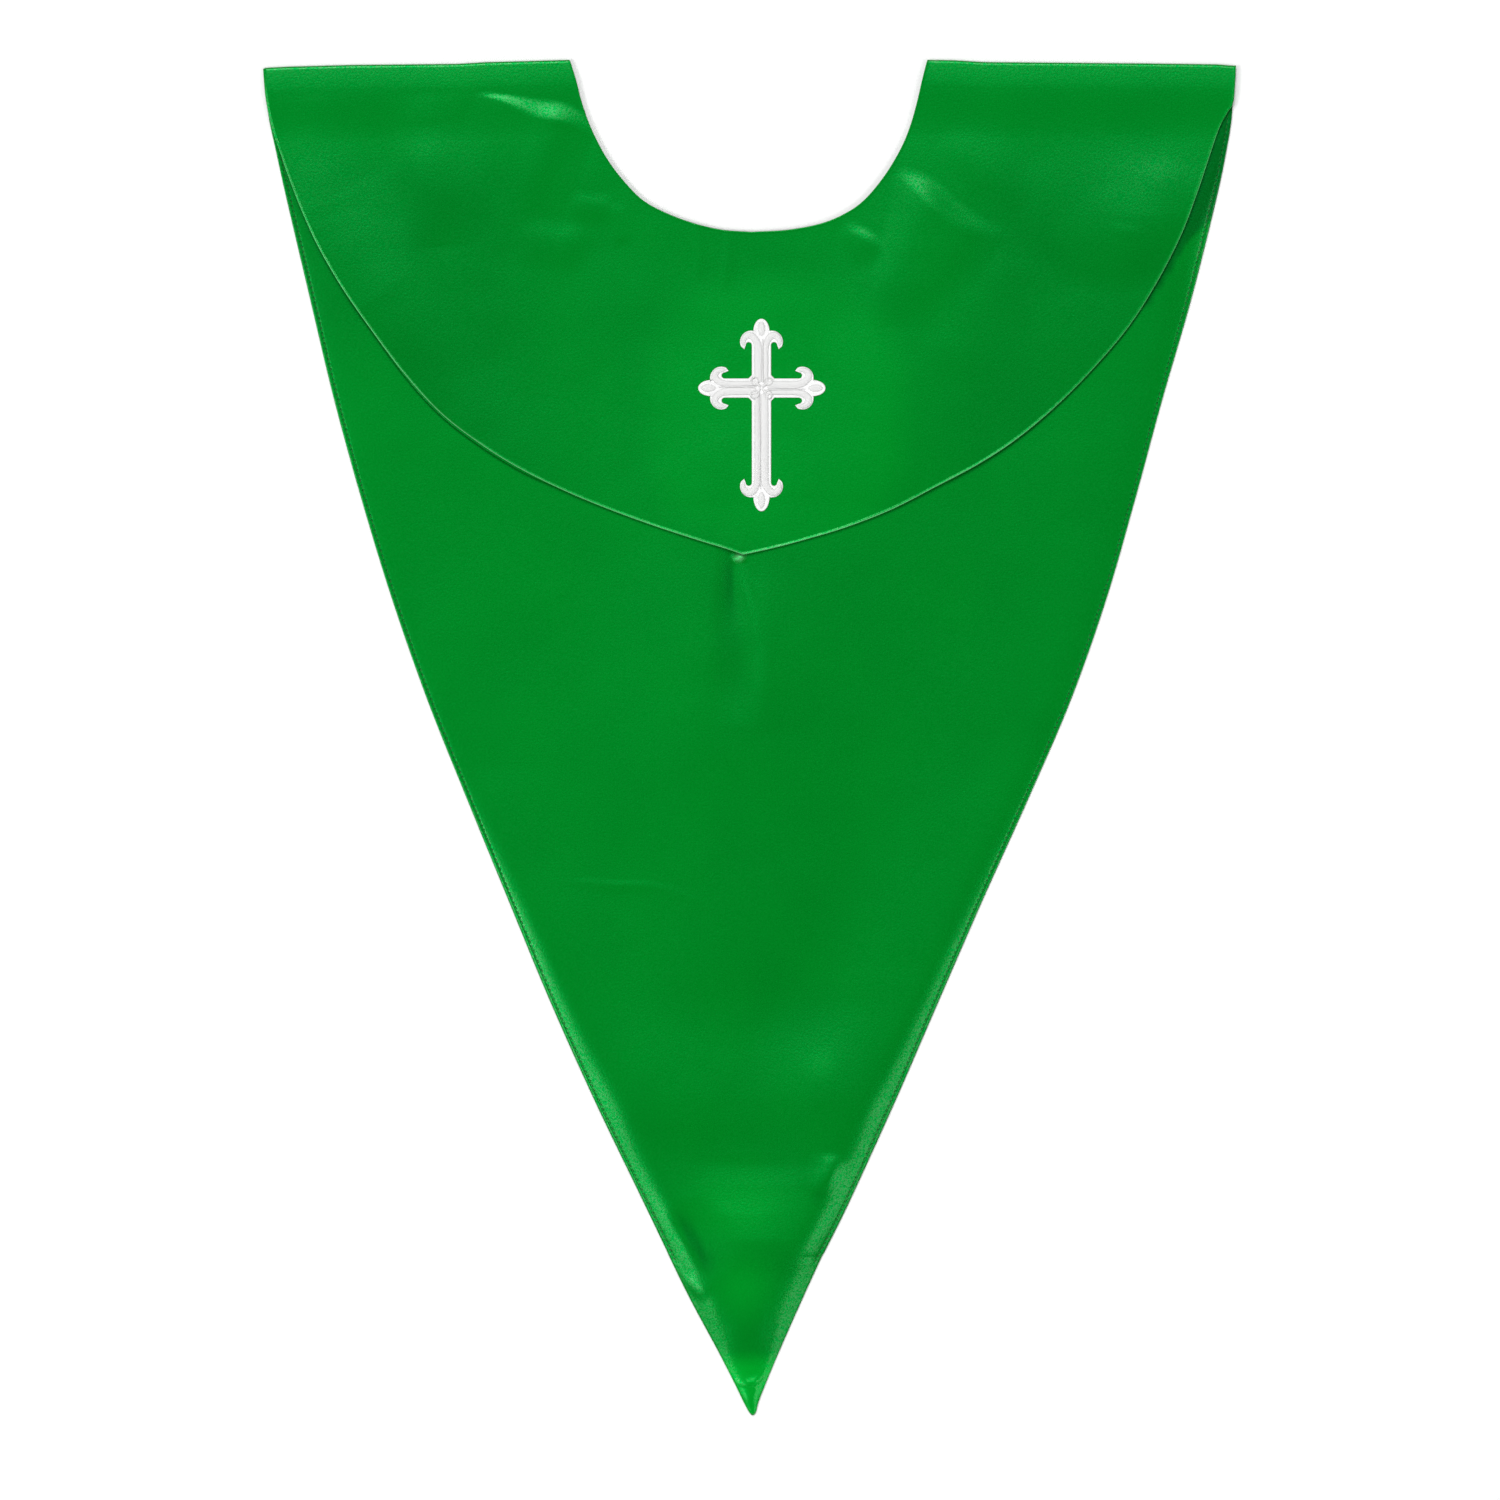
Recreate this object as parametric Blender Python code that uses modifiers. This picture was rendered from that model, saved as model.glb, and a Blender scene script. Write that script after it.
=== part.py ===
"""A choir stole laid flat: a long pointed panel, a short rounded yoke rolled over onto it
at the shoulders, and a raised cross on the yoke.

Metres, +Z up. The stole lies on the plane Z = 0, shoulders towards +Y and point towards
-Y. The origin is the middle of its outline on that plane. The tables and the cloth's own
sizes are in millimetres, and each mesh is scaled to metres when it is made.
"""

import math
from collections import namedtuple

import bmesh
import bpy
import numpy as np

MM = 0.001

# Cloth: one wall stands for the face and the lining, sewn edge to edge and turned
WALL = 1.2
SEAM_GAP = 0.3
PANEL_TOP = WALL
YOKE_TOP = PANEL_TOP + SEAM_GAP + WALL

# Shoulder roll: distances are measured back from the fold line, towards the hem
ROLL_RADIUS = 2.6
ROLL_ARC_END = math.radians(80.0)
ROLL_ARC_STEPS = 8
CREST_BACK = 18.0
CREST_HEIGHT = 6.2
CREST_STEPS = 4
CREST_FADE = 45.0
SEAM_BACK = 14.0
FLAP_STEPS = 3

# Yoke hem: the edge stands off the long panel over its last few millimetres
HEM_LIFT_DEPTH = 24.0
YOKE_OVER_FOLD = 1.1

# Grids
RING_STEPS = 42
YOKE_COLUMNS = (0.0, 0.03, 0.08, 0.15, 0.25, 0.37, 0.5, 0.63, 0.75, 0.85, 0.92, 0.965, 1.0)
PANEL_COLUMNS = (0.0, 0.02, 0.05, 0.10, 0.17, 0.27, 0.40, 0.55, 0.70, 0.82, 0.91, 0.97, 1.0)
PATH_STEPS = 12

# Cross: arms and leafed ends
CROSS_CENTRE = (7.9, 226.3)
CROSS_THICKNESS = 1.2
CROSS_EDGE = 0.35
ARM_HALF = 6.5
CORNER_FLARE = 2.2
NOTCH_RADIUS = 1.95
NOTCH_BACK = 17.2
NOTCH_STEPS = 4
LEAF_TIP = (11.5, 19.8)
LEAF_CENTRE = (6.9, 15.0)
LEAF_RADIUS = 7.3
LEAF_ARC = (-25.0, 103.0)
LEAF_STEPS = 8
BUD_HALF = 5.3
BUD_LENGTH = 8.5
BUD_START = 4.0
BUD_STEPS = 5

# Arms of the cross: the way each points, its length, and how much longer its bud is
Arm = namedtuple("Arm", "turn length bud_extra")
ARMS = (
    Arm(0.0, 45.1, 0.0),
    Arm(-90.0, 41.6, 0.0),
    Arm(-180.0, 80.3, 1.3),
    Arm(-270.0, 41.6, 0.0),
)

# Finishes
SATIN_GREEN = (0.0, 0.245, 0.0165, 1.0)
SATIN_ROUGHNESS = 0.38
THREAD_WHITE = (0.74, 0.74, 0.74, 1.0)
THREAD_ROUGHNESS = 0.55

# Fold line: how far up the stole each shoulder's fold lies
FoldPoint = namedtuple("FoldPoint", "x y")
FOLD_LEFT = (
    FoldPoint(-316.2, 435.2),
    FoldPoint(-300.0, 436.0),
    FoldPoint(-260.0, 437.1),
    FoldPoint(-190.0, 437.8),
    FoldPoint(-172.0, 438.9),
    FoldPoint(-116.7, 440.4),
)
FOLD_RIGHT = (
    FoldPoint(115.4, 440.4),
    FoldPoint(133.0, 440.2),
    FoldPoint(152.0, 439.0),
    FoldPoint(258.0, 438.1),
    FoldPoint(304.0, 437.5),
    FoldPoint(316.2, 436.5),
)
FOLD_LINE = FOLD_LEFT + FOLD_RIGHT
SEAM_ENDS = (FOLD_LEFT[0], FOLD_LEFT[-1], FOLD_RIGHT[0], FOLD_RIGHT[-1])

# Yoke neckline: left and right edge at each height, then its lowest point
EdgeLevel = namedtuple("EdgeLevel", "y left right")
NECK_LEVELS = (
    EdgeLevel(440.4, -116.7, 115.4),
    EdgeLevel(427.4, -112.7, 112.1),
    EdgeLevel(414.4, -109.4, 109.1),
    EdgeLevel(401.4, -105.0, 105.6),
    EdgeLevel(388.4, -99.3, 100.9),
    EdgeLevel(375.4, -92.0, 94.2),
    EdgeLevel(362.4, -82.3, 85.7),
    EdgeLevel(349.4, -69.5, 74.5),
    EdgeLevel(341.0, -54.3, 62.8),
    EdgeLevel(334.2, -36.0, 46.8),
    EdgeLevel(330.0, -17.7, 25.0),
)
NECK_LOW = FoldPoint(1.5, 328.6)

# Yoke hem: height of the left and of the right edge at each distance out from the middle
HemStation = namedtuple("HemStation", "out left right")
HEM_STATIONS = (
    HemStation(316.2, 435.2, 436.5),
    HemStation(314.4, 415.0, 413.5),
    HemStation(310.5, 396.2, 406.0),
    HemStation(305.0, 379.3, 395.2),
    HemStation(298.0, 359.8, 374.6),
    HemStation(290.0, 339.7, 351.0),
    HemStation(280.0, 318.2, 325.2),
    HemStation(265.0, 292.4, 296.0),
    HemStation(247.0, 266.3, 267.6),
    HemStation(225.0, 237.0, 241.3),
    HemStation(201.0, 210.8, 216.8),
    HemStation(175.0, 190.6, 194.8),
    HemStation(149.0, 174.4, 177.6),
    HemStation(120.0, 160.1, 162.2),
    HemStation(92.0, 148.4, 147.9),
    HemStation(62.0, 137.4, 136.2),
    HemStation(34.0, 128.2, 127.8),
    HemStation(14.0, 122.1, 122.6),
)
HEM_POINT = FoldPoint(-4.2, 118.6)

# How far the hem stands off the long panel, from the left shoulder to the right one
HemLift = namedtuple("HemLift", "x lift")
HEM_LIFTS = (
    HemLift(-310.0, 1.4),
    HemLift(-230.0, 0.7),
    HemLift(-120.0, 0.6),
    HemLift(0.0, 0.5),
    HemLift(110.0, 1.2),
    HemLift(190.0, 1.4),
    HemLift(260.0, 2.4),
    HemLift(305.0, 3.0),
)

# Long panel: left and right edge at each height
PANEL_LEVELS = (
    EdgeLevel(424.0, -314.4, 314.2),
    EdgeLevel(402.7, -312.3, 313.4),
    EdgeLevel(381.9, -307.8, 310.4),
    EdgeLevel(349.4, -301.3, 303.9),
    EdgeLevel(284.4, -285.7, 287.0),
    EdgeLevel(219.4, -270.1, 268.4),
    EdgeLevel(154.4, -252.4, 250.6),
    EdgeLevel(89.4, -232.3, 231.4),
    EdgeLevel(24.4, -209.6, 208.8),
    EdgeLevel(-40.6, -183.6, 181.0),
    EdgeLevel(-105.6, -157.0, 152.0),
    EdgeLevel(-170.6, -130.0, 123.4),
    EdgeLevel(-235.6, -101.1, 95.2),
    EdgeLevel(-300.6, -69.9, 66.0),
    EdgeLevel(-340.9, -50.6, 45.6),
    EdgeLevel(-365.6, -38.5, 34.1),
    EdgeLevel(-398.1, -21.0, 20.0),
    EdgeLevel(-419.6, -10.0, 11.0),
    EdgeLevel(-432.0, -3.9, 6.3),
    EdgeLevel(-440.4, 0.5, 3.3),
)

# Neck of the long panel, hidden by the yoke: half of its width at each height
NeckLevel = namedtuple("NeckLevel", "y half")
PANEL_NECK_LEVELS = (
    NeckLevel(426.4, 114.2),
    NeckLevel(414.0, 111.6),
    NeckLevel(401.0, 108.4),
    NeckLevel(388.0, 103.8),
    NeckLevel(375.0, 98.2),
    NeckLevel(349.0, 85.6),
    NeckLevel(240.0, 44.1),
    NeckLevel(124.5, 0.0),
)
PANEL_NECK_SHIFT = -5.5

# Rows of the long panel's grid, closer together where folds cross it
RowSpan = namedtuple("RowSpan", "top bottom rows")
PANEL_ROW_SPANS = (
    RowSpan(424.0, 404.0, 1),
    RowSpan(404.0, 380.0, 1),
    RowSpan(380.0, 140.0, 12),
    RowSpan(140.0, 124.5, 3),
    RowSpan(124.5, 90.0, 8),
    RowSpan(90.0, 20.0, 8),
    RowSpan(20.0, -300.0, 24),
    RowSpan(-300.0, -384.0, 12),
    RowSpan(-384.0, -432.0, 5),
    RowSpan(-432.0, -440.4, 2),
)
SEAM_TILT_FADE = 30.0

# Soft folds: a ridge along a line, with its height at each end
Ridge = namedtuple("Ridge", "x0 y0 x1 y1 width start end")
PANEL_RIDGES = (
    Ridge(-6.0, 121.0, -5.0, 114.0, 15.0, 2.6, 2.2),
    Ridge(1.0, 114.0, 7.0, 26.0, 24.0, 1.6, 0.0),
    Ridge(52.0, -196.0, 46.0, -226.0, 34.0, 0.8, 0.6),
    Ridge(9.0, -414.0, 1.0, -419.0, 9.0, 0.9, 0.5),
)
YOKE_RIDGES = (
    Ridge(-170.0, 417.0, -134.0, 410.5, 17.0, 0.5, 1.2),
    Ridge(-134.0, 410.5, -108.0, 396.0, 17.0, 1.2, 1.7),
    Ridge(104.0, 366.0, 122.0, 352.0, 24.0, 1.7, 1.2),
    Ridge(122.0, 352.0, 164.0, 330.0, 24.0, 1.2, 0.2),
    Ridge(57.0, 314.0, 80.0, 327.0, 16.0, 0.9, 0.6),
)

# Rolled edges of the long panel: where the ridge runs inside the edge, and how high
EdgeRoll = namedtuple("EdgeRoll", "y inset width height")
LEFT_ROLL = (
    EdgeRoll(-20.0, 8.0, 14.0, 0.0),
    EdgeRoll(-110.0, 8.0, 18.0, 1.0),
    EdgeRoll(-180.0, 9.0, 22.0, 1.6),
    EdgeRoll(-250.0, 10.5, 26.0, 2.2),
    EdgeRoll(-310.0, 11.0, 28.0, 2.6),
    EdgeRoll(-345.0, 10.0, 22.0, 1.4),
    EdgeRoll(-368.0, 8.0, 14.0, 0.0),
)
RIGHT_ROLL = (
    EdgeRoll(-120.0, 9.0, 16.0, 0.0),
    EdgeRoll(-220.0, 10.0, 20.0, 0.8),
    EdgeRoll(-280.0, 13.0, 26.0, 1.8),
    EdgeRoll(-328.0, 14.0, 28.0, 2.2),
    EdgeRoll(-341.0, 12.0, 24.0, 0.0),
)


def smooth_path(knots):
    """Rows of x and y along a Catmull-Rom curve through the knots."""
    knots = np.asarray(knots, float)
    first = 2 * knots[0] - knots[1]
    last = 2 * knots[-1] - knots[-2]
    padded = np.vstack([first, knots, last])
    t = np.linspace(0.0, 1.0, PATH_STEPS, endpoint=False)[:, None]
    spans = []
    for before, start, end, after in zip(padded, padded[1:], padded[2:], padded[3:]):
        linear = (end - before) * t
        square = (2 * before - 5 * start + 4 * end - after) * t**2
        cube = (3 * start - before - 3 * end + after) * t**3
        spans.append(start + 0.5 * (linear + square + cube))
    spans.append(knots[-1:])
    return np.vstack(spans)


def points_along(path, fractions):
    """The path's points at these fractions of its length."""
    steps = np.hypot(*np.diff(path, axis=0).T)
    reached = np.concatenate([[0.0], np.cumsum(steps)])
    wanted = np.asarray(fractions) * reached[-1]
    return np.column_stack([np.interp(wanted, reached, path[:, i]) for i in (0, 1)])


def x_at(path, y):
    """Where a path that runs downwards crosses the height y."""
    return float(np.interp(y, path[::-1, 1], path[::-1, 0]))


def ease(t):
    """A smooth step from 0 at t = 0 to 1 at t = 1."""
    t = min(max(t, 0.0), 1.0)
    return t * t * (3.0 - 2.0 * t)


def fold_y(x):
    return float(np.interp(x, [p.x for p in FOLD_LINE], [p.y for p in FOLD_LINE]))


def seam_y(x):
    """The straight shoulder seam, where the yoke's turned-under flap ends."""
    return float(np.interp(x, [p.x for p in SEAM_ENDS], [p.y for p in SEAM_ENDS])) - SEAM_BACK


# Outlines, each from the shoulder down
NECK_LEFT = smooth_path([(p.left, p.y) for p in NECK_LEVELS] + [NECK_LOW])
NECK_RIGHT = smooth_path([(p.right, p.y) for p in NECK_LEVELS] + [NECK_LOW])
HEM_LEFT = smooth_path([(-p.out, p.left) for p in HEM_STATIONS] + [HEM_POINT])
HEM_RIGHT = smooth_path([(p.out, p.right) for p in HEM_STATIONS] + [HEM_POINT])
PANEL_LEFT = smooth_path([(p.left, p.y) for p in PANEL_LEVELS])
PANEL_RIGHT = smooth_path([(p.right, p.y) for p in PANEL_LEVELS])
PANEL_NECK = smooth_path([(p.half, p.y) for p in PANEL_NECK_LEVELS])


def bump(distance, width):
    """A soft ridge's height, as a share of its full height, this far from its line."""
    half = width / 2
    if distance >= half:
        return 0.0
    return 0.5 + 0.5 * math.cos(math.pi * distance / half)


def ridge_height(ridge, x, y):
    run_x = ridge.x1 - ridge.x0
    run_y = ridge.y1 - ridge.y0
    along = ((x - ridge.x0) * run_x + (y - ridge.y0) * run_y) / (run_x**2 + run_y**2)
    along = min(max(along, 0.0), 1.0)
    distance = math.hypot(x - ridge.x0 - along * run_x, y - ridge.y0 - along * run_y)
    full = ridge.start + (ridge.end - ridge.start) * along
    return full * bump(distance, ridge.width)


def highest_ridge(ridges, x, y):
    return max(ridge_height(ridge, x, y) for ridge in ridges)


def edge_roll_height(rolls, inside, y):
    """Height of a rolled edge at a point this far inside the panel's edge."""
    heights = [roll.y for roll in reversed(rolls)]

    def at_y(column):
        return float(np.interp(y, heights, [getattr(roll, column) for roll in reversed(rolls)]))

    return at_y("height") * bump(abs(inside - at_y("inset")), at_y("width"))


def panel_relief(x, y):
    """How far the long panel's folds raise it above its flat lie."""
    left = edge_roll_height(LEFT_ROLL, x - x_at(PANEL_LEFT, y), y)
    right = edge_roll_height(RIGHT_ROLL, x_at(PANEL_RIGHT, y) - x, y)
    return max(highest_ridge(PANEL_RIDGES, x, y), left, right)


def yoke_height(x, y, from_hem=HEM_LIFT_DEPTH):
    """The yoke's upper face: on the long panel, with the shoulder crest, the lifted hem and folds."""
    back = fold_y(x) - y - CREST_BACK
    crest = 1.0 - ease(back / CREST_FADE)
    lift = np.interp(x, [p.x for p in HEM_LIFTS], [p.lift for p in HEM_LIFTS])
    hem = lift * ease(1.0 - from_hem / HEM_LIFT_DEPTH)
    folds = highest_ridge(YOKE_RIDGES, x, y) + YOKE_OVER_FOLD * panel_relief(x, y)
    return YOKE_TOP + (CREST_HEIGHT - YOKE_TOP) * crest + (1.0 - crest) * (hem + folds)


def roll_profile():
    """Pairs of distance back from the fold and height, from the floor round to the crest."""
    angles = np.linspace(-math.pi / 2, ROLL_ARC_END, ROLL_ARC_STEPS + 1)
    arc = [(ROLL_RADIUS * (1 - math.cos(a)), ROLL_RADIUS * (1 + math.sin(a))) for a in angles]
    start_back, start_height = arc[-1]
    start_slope = 1.0 / math.tan(ROLL_ARC_END)
    run = CREST_BACK - start_back
    rise = []
    for t in np.linspace(0.0, 1.0, CREST_STEPS + 1)[1:]:
        slope_part = start_slope * run * t * (1 - t) ** 2
        height = start_height + slope_part + (CREST_HEIGHT - start_height) * ease(t)
        rise.append((start_back + run * t, height))
    return arc + rise


def across_section(neck_x, hem_x, y_of, height):
    """A section at one height, from the neck's side to the hem's."""
    across = neck_x + (hem_x - neck_x) * np.asarray(YOKE_COLUMNS)
    return [(x, y_of(x), height) for x in across]


def roll_sections(neck, hem, panel_edge, neck_sign):
    """The yoke's sections over one shoulder, from the seam underneath to the crest."""
    neck_fold = neck[0, 0]
    hem_fold = hem[0, 0]
    neck_under = neck_sign * PANEL_NECK_LEVELS[0].half - neck_fold
    hem_under = panel_edge[0, 0] - hem_fold
    sections = []
    for share in np.linspace(1.0, 0.0, FLAP_STEPS, endpoint=False):
        under = share + (1.0 - share) * ROLL_RADIUS / SEAM_BACK

        def flap_y(x):
            return share * seam_y(x) + (1.0 - share) * (fold_y(x) - ROLL_RADIUS)

        neck_x = neck_fold + neck_under * under
        sections.append(across_section(neck_x, hem_fold + hem_under * under, flap_y, 0.0))
    for back, height in roll_profile():
        if height < ROLL_RADIUS:
            neck_x = neck_fold + neck_under * back / SEAM_BACK
            hem_x = hem_fold + hem_under * back / SEAM_BACK
        else:
            neck_x = x_at(neck, neck[0, 1] - back)
            hem_x = x_at(hem, hem[0, 1] - back)
        sections.append(across_section(neck_x, hem_x, lambda x: fold_y(x) - back, height))
    return sections


def ring_ends(path):
    """The part of a shoulder's outline below the crest, down to the middle of the yoke."""
    start_y = path[0, 1] - CREST_BACK
    start = (x_at(path, start_y), start_y)
    return np.vstack([start, path[path[:, 1] < start_y]])


def ring_sections(neck, hem):
    """The yoke's sections from neckline to hem, from just past a crest to the middle."""
    fractions = np.linspace(0.0, 1.0, RING_STEPS + 1)[1:]
    neck_ends = points_along(ring_ends(neck), fractions)
    hem_ends = points_along(ring_ends(hem), fractions)
    sections = []
    for inner, outer in zip(neck_ends, hem_ends):
        length = math.dist(inner, outer)
        section = []
        for share in YOKE_COLUMNS:
            x, y = inner + (outer - inner) * share
            section.append((x, y, yoke_height(x, y, length * (1 - share))))
        sections.append(section)
    return sections


def panel_rows():
    """Heights of the long panel's rows, from the shoulder seam to the point."""
    rows = [PANEL_ROW_SPANS[0].top]
    for span in PANEL_ROW_SPANS:
        rows.extend(np.linspace(span.top, span.bottom, span.rows + 1)[1:])
    return rows


def panel_half(path, neck_sign):
    """Rows of the long panel from one edge to the neck, and to the middle below it."""
    neck_bottom = PANEL_NECK_LEVELS[-1].y
    top = PANEL_ROW_SPANS[0].top
    half = []
    for y in panel_rows():
        edge_x = x_at(path, y)
        drop = min(1.0, (top - y) / (top - neck_bottom))
        shift = PANEL_NECK_SHIFT * drop
        if y > neck_bottom:
            inner_x = shift + neck_sign * x_at(PANEL_NECK, y)
        else:
            down = (neck_bottom - y) / (neck_bottom + PANEL_LEVELS[0].y)
            tip_x = (PANEL_LEVELS[-1].left + PANEL_LEVELS[-1].right) / 2
            inner_x = shift + (tip_x - shift) * min(1.0, down)
        row = []
        for share in PANEL_COLUMNS:
            x = edge_x + (inner_x - edge_x) * share
            tilt = seam_y(x) - SEAM_GAP - top
            row_y = y + tilt * ease(1.0 - (top - y) / SEAM_TILT_FADE)
            row.append((x, row_y, PANEL_TOP + panel_relief(x, row_y)))
        half.append(row)
    return half


def loft(mesh, sections, flip=False):
    """Adds quads between sections of equal length."""
    rows = [[mesh.verts.new(point) for point in section] for section in sections]
    for upper, lower in zip(rows, rows[1:]):
        for i in range(len(upper) - 1):
            corners = [upper[i], upper[i + 1], lower[i + 1], lower[i]]
            mesh.faces.new(corners[::-1] if flip else corners)


def finish(name, colour, roughness):
    material = bpy.data.materials.new(name)
    material.use_nodes = True
    shader = material.node_tree.nodes["Principled BSDF"]
    shader.inputs["Base Color"].default_value = colour
    shader.inputs["Roughness"].default_value = roughness
    shader.inputs["Metallic"].default_value = 0.0
    material.diffuse_color = colour
    return material


def add_object(name, mesh, material, collection):
    """Turns a bmesh in millimetres into a named object in metres."""
    bmesh.ops.scale(mesh, vec=(MM, MM, MM), verts=mesh.verts)
    data = bpy.data.meshes.new(name)
    mesh.to_mesh(data)
    mesh.free()
    data.materials.append(material)
    data.shade_smooth()
    data.set_sharp_from_angle(angle=math.radians(40))
    obj = bpy.data.objects.new(name, data)
    collection.objects.link(obj)
    return obj


def add_wall(obj):
    """Gives an open cloth face its thickness, inwards from the side that shows."""
    wall = obj.modifiers.new("cloth", "SOLIDIFY")
    wall.thickness = WALL * MM
    wall.offset = -1.0
    wall.use_even_offset = False
    return wall


def build_long_panel(material, collection):
    mesh = bmesh.new()
    loft(mesh, panel_half(PANEL_LEFT, -1.0), flip=True)
    loft(mesh, panel_half(PANEL_RIGHT, 1.0))
    bmesh.ops.remove_doubles(mesh, verts=mesh.verts, dist=1e-4)
    add_wall(add_object("long_panel", mesh, material, collection))


def build_short_yoke(material, collection):
    left_roll = roll_sections(NECK_LEFT, HEM_LEFT, PANEL_LEFT, -1.0)
    right_roll = roll_sections(NECK_RIGHT, HEM_RIGHT, PANEL_RIGHT, 1.0)
    left_ring = ring_sections(NECK_LEFT, HEM_LEFT)
    right_ring = ring_sections(NECK_RIGHT, HEM_RIGHT)[:-1]
    mesh = bmesh.new()
    loft(mesh, left_roll + left_ring + right_ring[::-1] + right_roll[::-1])
    add_wall(add_object("short_yoke", mesh, material, collection))


def arc_points(centre, radius_x, radius_y, from_degrees, to_degrees, steps):
    angles = np.radians(np.linspace(from_degrees, to_degrees, steps + 1))
    return [(centre[0] + radius_x * math.cos(a), centre[1] + radius_y * math.sin(a)) for a in angles]


def arm_side(arm):
    """One side of an arm, as pairs of distance across and distance out, from the corner to the tip."""
    leaf_end = arm.length - arm.bud_extra
    notch = (ARM_HALF + NOTCH_RADIUS, leaf_end - NOTCH_BACK)
    leaf = (LEAF_CENTRE[0], leaf_end - LEAF_CENTRE[1])
    bud = (0.0, leaf_end - BUD_LENGTH)
    side = [(ARM_HALF, ARM_HALF + CORNER_FLARE)]
    side += arc_points(notch, NOTCH_RADIUS, NOTCH_RADIUS, 180.0, 0.0, NOTCH_STEPS)
    side.append((LEAF_TIP[0], leaf_end - LEAF_TIP[1]))
    side += arc_points(leaf, LEAF_RADIUS, LEAF_RADIUS, *LEAF_ARC, LEAF_STEPS)
    side += arc_points(bud, BUD_HALF, BUD_LENGTH + arm.bud_extra, BUD_START, 90.0, BUD_STEPS)
    return side


def cross_outline():
    """The outline of the cross, clockwise from its head's left side."""
    outline = []
    for arm in ARMS:
        side = arm_side(arm)
        around = [(-across, out) for across, out in side] + side[-2::-1]
        turn = math.radians(arm.turn)
        for across, out in around:
            x = across * math.cos(turn) - out * math.sin(turn)
            y = across * math.sin(turn) + out * math.cos(turn)
            outline.append((CROSS_CENTRE[0] + x, CROSS_CENTRE[1] + y))
    return outline


def build_cross(material, collection):
    mesh = bmesh.new()
    rim = [mesh.verts.new((x, y, CROSS_THICKNESS)) for x, y in reversed(cross_outline())]
    top = mesh.faces.new(rim)
    rim_edges = list(top.edges)
    extruded = bmesh.ops.extrude_face_region(mesh, geom=[top], use_keep_orig=True)
    lower = [item for item in extruded["geom"] if isinstance(item, bmesh.types.BMVert)]
    bmesh.ops.translate(mesh, vec=(0.0, 0.0, -CROSS_THICKNESS), verts=lower)
    bmesh.ops.recalc_face_normals(mesh, faces=mesh.faces)
    bmesh.ops.bevel(
        mesh, geom=rim_edges, offset=CROSS_EDGE, segments=1, affect="EDGES", clamp_overlap=True
    )
    for vert in mesh.verts:
        vert.co.z += yoke_height(vert.co.x, vert.co.y) + SEAM_GAP
    bmesh.ops.triangulate(mesh, faces=mesh.faces)
    add_object("cross_applique", mesh, material, collection)


def clear_scene():
    for obj in list(bpy.data.objects):
        bpy.data.objects.remove(obj, do_unlink=True)


def main():
    clear_scene()
    collection = bpy.data.collections.new("choir_stole")
    bpy.context.scene.collection.children.link(collection)
    satin = finish("green_satin", SATIN_GREEN, SATIN_ROUGHNESS)
    thread = finish("white_thread", THREAD_WHITE, THREAD_ROUGHNESS)
    build_long_panel(satin, collection)
    build_short_yoke(satin, collection)
    build_cross(thread, collection)


main()
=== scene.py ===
"""Looks of a green satin choir stole that lies flat: a long pointed panel, a short rounded
yoke rolled over onto it at the shoulders, and a raised white cross on the yoke.

Metres, +Z up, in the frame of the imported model. The cloth's own sizes and tables are in
millimetres, as a maker would note them, and meshes are scaled when they are made.
"""

import logging
import math
from collections.abc import Callable, Iterable, Mapping, Sequence
from dataclasses import dataclass, field
from enum import Enum
from typing import Any, NamedTuple

import bmesh
import bpy
import numpy as np
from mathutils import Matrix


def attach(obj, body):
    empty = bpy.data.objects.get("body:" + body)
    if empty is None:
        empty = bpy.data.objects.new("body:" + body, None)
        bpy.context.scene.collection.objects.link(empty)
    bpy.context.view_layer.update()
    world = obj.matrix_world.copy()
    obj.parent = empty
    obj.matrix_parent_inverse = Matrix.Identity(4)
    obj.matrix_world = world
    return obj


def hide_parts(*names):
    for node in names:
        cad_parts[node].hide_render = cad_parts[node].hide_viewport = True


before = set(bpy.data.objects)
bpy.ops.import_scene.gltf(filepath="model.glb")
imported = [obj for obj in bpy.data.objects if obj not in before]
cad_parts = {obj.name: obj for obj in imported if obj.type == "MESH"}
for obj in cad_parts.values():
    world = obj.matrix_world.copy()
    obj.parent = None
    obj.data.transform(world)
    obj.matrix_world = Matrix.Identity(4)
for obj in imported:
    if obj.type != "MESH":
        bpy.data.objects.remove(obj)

MM = 0.001
LOG = logging.getLogger("choir_stole")

# Millimetres: the topstitching's distance from the edge and from stitch to stitch, the
# lowest that cloth comes to the table, a fold's narrowest flank, and how close two places
# are to be the same
STITCH_INSET = 2.7
STITCH_PITCH = 3.4
ABOVE_TABLE = 0.03
NARROWEST = 0.01
SAME_PLACE = 1e-6

Array = np.ndarray


class Side(Enum):
    """The two shoulders, by the sign of X."""

    LEFT = -1.0
    RIGHT = 1.0


class Held(Enum):
    """How a sheet of cloth lies."""

    LAID = "laid"
    FOLDED = "folded"


# Lines and folds


class Place(NamedTuple):
    """A point on the table, in millimetres."""

    x: float
    y: float


class EdgeLevel(NamedTuple):
    """Left and right edge of a panel at one height."""

    y: float
    left: float
    right: float


class HemStation(NamedTuple):
    """Height of the left and of the right hem at one distance out from the middle."""

    out: float
    left: float
    right: float


class RimPlace(NamedTuple):
    """A place on the yoke's turned edge: how far out and down it is, and its share of the lip."""

    out: float
    drop: float
    lip_share: float


class FoldKnot(NamedTuple):
    """A knot of a fold's crest, with its height and the widths of its two flanks.

    before is the flank on the left of someone who walks along the knots, after the one on
    the right.
    """

    x: float
    y: float
    height: float
    before: float
    after: float


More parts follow.
